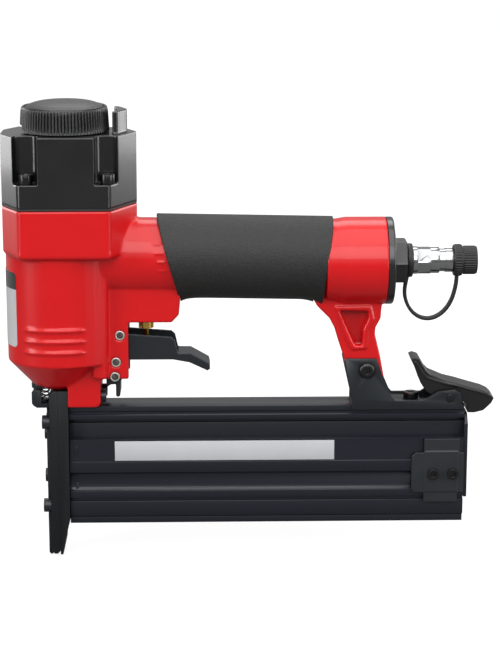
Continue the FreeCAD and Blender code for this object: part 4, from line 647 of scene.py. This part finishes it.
def make_sticker():
    """Film round the front of the barrel, with round corners and a dark head band, left blank."""
    half_angle, low, high, corner = math.radians(41.5), 115.8, 154.7, 2.0
    radius, head_from = 25.5, 146.0
    columns, rows = 40, 40
    points, faces = [], []
    for j in range(rows + 1):
        z = low + (high - low) * j / rows
        dip = max(0.0, corner - (z - low), corner - (high - z))
        trim = (corner - math.sqrt(max(corner ** 2 - dip ** 2, 0.0))) / radius if dip > 0 else 0.0
        for i in range(columns + 1):
            turn = math.pi - half_angle + trim + 2 * (half_angle - trim) * i / columns
            points.append(((radius + 0.22) * math.cos(turn), (radius + 0.22) * math.sin(turn), z))
    for j in range(rows):
        for i in range(columns):
            a = j * (columns + 1) + i
            faces.append((a, a + 1, a + columns + 2, a + columns + 1))
    sticker = mesh_piece("front_label_form", points, faces)
    thick = sticker.modifiers.new("thick", "SOLIDIFY")
    thick.thickness = 0.2 * MM
    thick.offset = -1.0
    settled(sticker)
    dressed(sticker, "front_label", smooth_angle=40.0)
    sticker.data.materials.append(MATERIALS["sticker_head"])
    for face in sticker.data.polygons:
        if sum(sticker.data.vertices[v].co.z for v in face.vertices) / len(face.vertices) > head_from * MM:
            face.material_index = 1


def make_pins():
    """Cross pins with a bright turned rim and a dark sunk middle."""
    for node in ("trigger_pin", "stop_pin", "lock_pin"):
        low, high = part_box(node)
        x, z = (low.x + high.x) / 2 / MM, (low.z + high.z) / 2 / MM
        half = high.y / MM
        end = [(2.48, half - 0.5), (2.4, half - 0.12), (2.2, half), (1.9, half - 0.04), (1.72, half - 0.3),
               (1.0, half - 0.22), (0.02, half - 0.18)]
        profile = [(r, -y) for r, y in reversed(end)] + end
        points, faces = [], []
        steps, count = 40, len(profile)
        for i in range(steps):
            turn = 2 * math.pi * i / steps
            points += [(x + r * math.cos(turn), y, z + r * math.sin(turn)) for r, y in profile]
        for i in range(steps):
            for k in range(count - 1):
                a, c = i * count + k, ((i + 1) % steps) * count + k
                faces.append((a, a + 1, c + 1, c))
        faces.append(tuple(i * count for i in range(steps)))
        faces.append(tuple(i * count + count - 1 for i in range(steps - 1, -1, -1)))
        pin = mesh_piece(node + "_form", points, faces)
        dressed(pin, node, smooth_angle=45.0)
        pin.data.materials.append(MATERIALS["pin_face"])
        for face in pin.data.polygons:
            middle = sum((pin.data.vertices[v].co for v in face.vertices), Vector()) / len(face.vertices)
            if math.hypot(middle.x / MM - x, middle.z / MM - z) < 1.75:
                face.material_index = 1


def make_strap():
    """Rubber tether: a ring round the plug and a thin ribbon that hangs in a loop to the dust cap."""
    section = [(6.6, 180.85), (8.3, 180.85), (8.75, 181.3), (8.75, 183.4), (8.3, 183.9), (6.6, 183.9)]
    ring = lathe_x("dust_cap_strap_form", HANDLE_Z, section, 64)
    line = [(181.6, 149.6), (180.9, 146.0), (180.3, 142.0), (180.6, 137.6), (182.4, 132.8), (185.6, 128.9),
            (189.8, 126.7), (194.4, 126.6), (198.8, 128.6), (202.4, 132.2), (204.9, 136.8), (206.3, 141.6),
            (207.0, 145.6), (207.2, 149.0)]
    curve = smooth_line(line, 5)
    half, thick = 1.7, 0.9
    points, faces = [], []
    for i, (x, z) in enumerate(curve):
        x0, z0 = curve[max(i - 1, 0)]
        x1, z1 = curve[min(i + 1, len(curve) - 1)]
        length = math.hypot(x1 - x0, z1 - z0)
        nx, nz = -(z1 - z0) / length, (x1 - x0) / length
        for y, t in ((-half, 0.35), (-half + 0.3, 1.0), (half - 0.3, 1.0), (half, 0.35), (half, -0.35),
                     (half - 0.3, -1.0), (-half + 0.3, -1.0), (-half, -0.35)):
            points.append((x + nx * thick * t, y, z + nz * thick * t))
    for i in range(len(curve) - 1):
        for k in range(8):
            a, b = i * 8 + k, i * 8 + (k + 1) % 8
            faces.append((a, a + 8, b + 8, b))
    faces.append(tuple(range(8)))
    faces.append(tuple((len(curve) - 1) * 8 + k for k in range(7, -1, -1)))
    ribbon = mesh_piece("ribbon", points, faces)
    merged(ring, [ribbon])
    fix_normals(ring)
    mesh = ring.data
    mesh.materials.append(MATERIALS[SLOT_OF["dust_cap_strap"]])
    for face in mesh.polygons:
        face.use_smooth = True
    mesh.set_sharp_from_angle(angle=math.radians(50))
    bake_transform(ring)
    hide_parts("dust_cap_strap")


def guard_fin():
    """Upright wall behind the knob, round at both ends, as wide as the head's rear facets allow."""
    outer = [(33.3, -12.3), (34.6, -9.5), (36.2, -5.5), (37.6, -1.5), (37.6, 1.5), (36.2, 5.5), (34.6, 9.5),
             (33.3, 12.3), (32.6, 12.5), (31.4, 12.5), (30.6, 12.0)]
    inner = [(31.6, 9.0), (32.6, 4.5), (33.0, 0.0), (32.6, -4.5), (31.6, -9.0), (30.6, -12.0), (31.4, -12.5),
             (32.6, -12.5)]
    return prism("fin", outer + inner, 222.0, 235.9)


def keeper_panel():
    """Raised middle, as pressed into the sheet."""
    low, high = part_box("keeper_plate")
    outer = low.y / MM
    x0, x1 = low.x / MM + 7.4, high.x / MM - 3.4
    z0, z1 = low.z / MM + 5.6, high.z / MM - 6.8
    return prism("panel", [(x0, z0), (x0, z1), (x1, z1), (x1, z0)], outer - 0.45, outer + 0.5, axis="y")


def dust_cap_ribs():
    """Knurl round the flange and the body of the cap."""
    low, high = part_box("dust_cap")
    start, end = low.x / MM, high.x / MM
    centre = (low.z + high.z) / 2 / MM
    count, body_r, flange_r = 36, 7.15, 8.0
    forms = []
    for i in range(count):
        turn = 2 * math.pi * i / count
        y, z = math.cos(turn), math.sin(turn)
        for r, ends in ((body_r, (start + 5.2, end - 0.9)), (flange_r, (start + 0.7, start + 3.7))):
            forms.append(rod("rib", [(x, r * y, centre + r * z) for x in ends], 0.34, sides=8))
    return forms


def flare_grip():
    """The rubber spreads at the lower corners, over the roots of the leg and of the trigger housing."""
    grip = bpy.data.objects["rubber_grip_form"]
    low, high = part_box("rubber_grip")
    middle, half = (low.z + high.z) / 2 / MM, (high.z - low.z) / 2 / MM
    front_x, front_drop = 63.5, 2.6
    rear_x, rear_drop = 139.0, 4.2
    for vertex in grip.data.vertices:
        x, z = vertex.co.x / MM, vertex.co.z / MM
        depth = (middle - z) / half
        if depth < 0.3:
            continue
        weight = min(1.0, (depth - 0.3) / 0.6)
        front = math.exp(-max(x - front_x, 0.0) / 3.2) * front_drop
        rear = max(0.0, 1.0 - max(rear_x - x, 0.0) / 14.0) ** 2 * rear_drop
        vertex.co.z -= (front + rear) * weight * weight * MM


def latch_ridges():
    """Rounded ridge along the upper edge of the lever, on both sides."""
    x, z = LATCH_PIN
    line = smooth_line([(-18.3, 19.0), (-15.4, 14.2), (-13.0, 11.2), (-10.6, 9.9), (-3.0, 7.4), (3.1, 6.1),
                        (11.1, 3.8), (17.0, 2.2), (20.4, 0.6)], 3)
    return [rod("ridge", [(x + a, side * 7.2, z + b) for a, b in line], 0.8) for side in (-1, 1)]


def slide_tabs():
    """Two small pressed tabs near the front of the slide."""
    tabs, height = [], 4.6
    for low in (56.4, 36.4):
        y = side_of("magazine_slide", 9.3, low + height / 2)
        outline = [(8.3, y + 0.3), (8.7, y - 0.45), (9.9, y - 0.45), (10.3, y + 0.3)]
        tabs.append(prism("tab", outline, low, low + height))
    return tabs


COMPRESSED = {                     # spring: (body at its far end, body that presses it, direction of travel)
    "head_valve_spring": ("body", "head_valve", Vector((0, 0, 1))),
    "valve_spring": ("body", "valve_stem", Vector((0, 0, 1))),
    "safety_spring": ("body", "contact_safety", Vector((0, 0, 1))),
    "pusher_spring": ("magazine_slide", "pusher", Vector((1, 0, 0))),
}


def make_springs():
    """Copies of the springs with their finish, left fixed where they stand at rest."""
    for node, (holder, presser, along) in COMPRESSED.items():
        spring = copy_of(node, node + "_form")
        spring.data.materials.clear()
        spring.data.materials.append(MATERIALS[SLOT_OF[node]])
        for face in spring.data.polygons:
            face.material_index = 0
            face.use_smooth = True
        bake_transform(spring)
        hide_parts(node)


def make_all():
    """Every seen piece as a finished form, and a finish on every piece of the frame."""
    fin_room = mesh_box("room", (22.0, -20.0, 224.5), (44.0, 20.0, 240.0))
    extra = {"body_casting": {"added": casting_forms()},
             "cylinder_cap": {"added": [guard_fin()], "removed": [fin_room]},
             "latch_lever": {"added": latch_ridges()},
             "keeper_plate": {"added": [keeper_panel()]},
             "dust_cap": {"added": dust_cap_ribs()}}
    for node, (voxel, passes) in SOFTENED.items():
        softened(node, voxel, passes, **extra.get(node, {}))
    flare_grip()
    for node, width in BEVELLED.items():
        bevelled(node, width, added=slide_tabs() if node == "magazine_slide" else ())
    make_knob()
    make_cover()
    make_pins()
    make_strap()
    make_sticker()
    make_springs()
    for node, piece in NODES.items():
        piece.data.materials.clear()
        piece.data.materials.append(MATERIALS[SLOT_OF[node]])


bpy.context.scene.view_settings.view_transform = "Standard"
set_camera()
set_floor()
set_world()
set_lights()
MATERIALS = make_materials()
make_all()
bpy.context.view_layer.update()
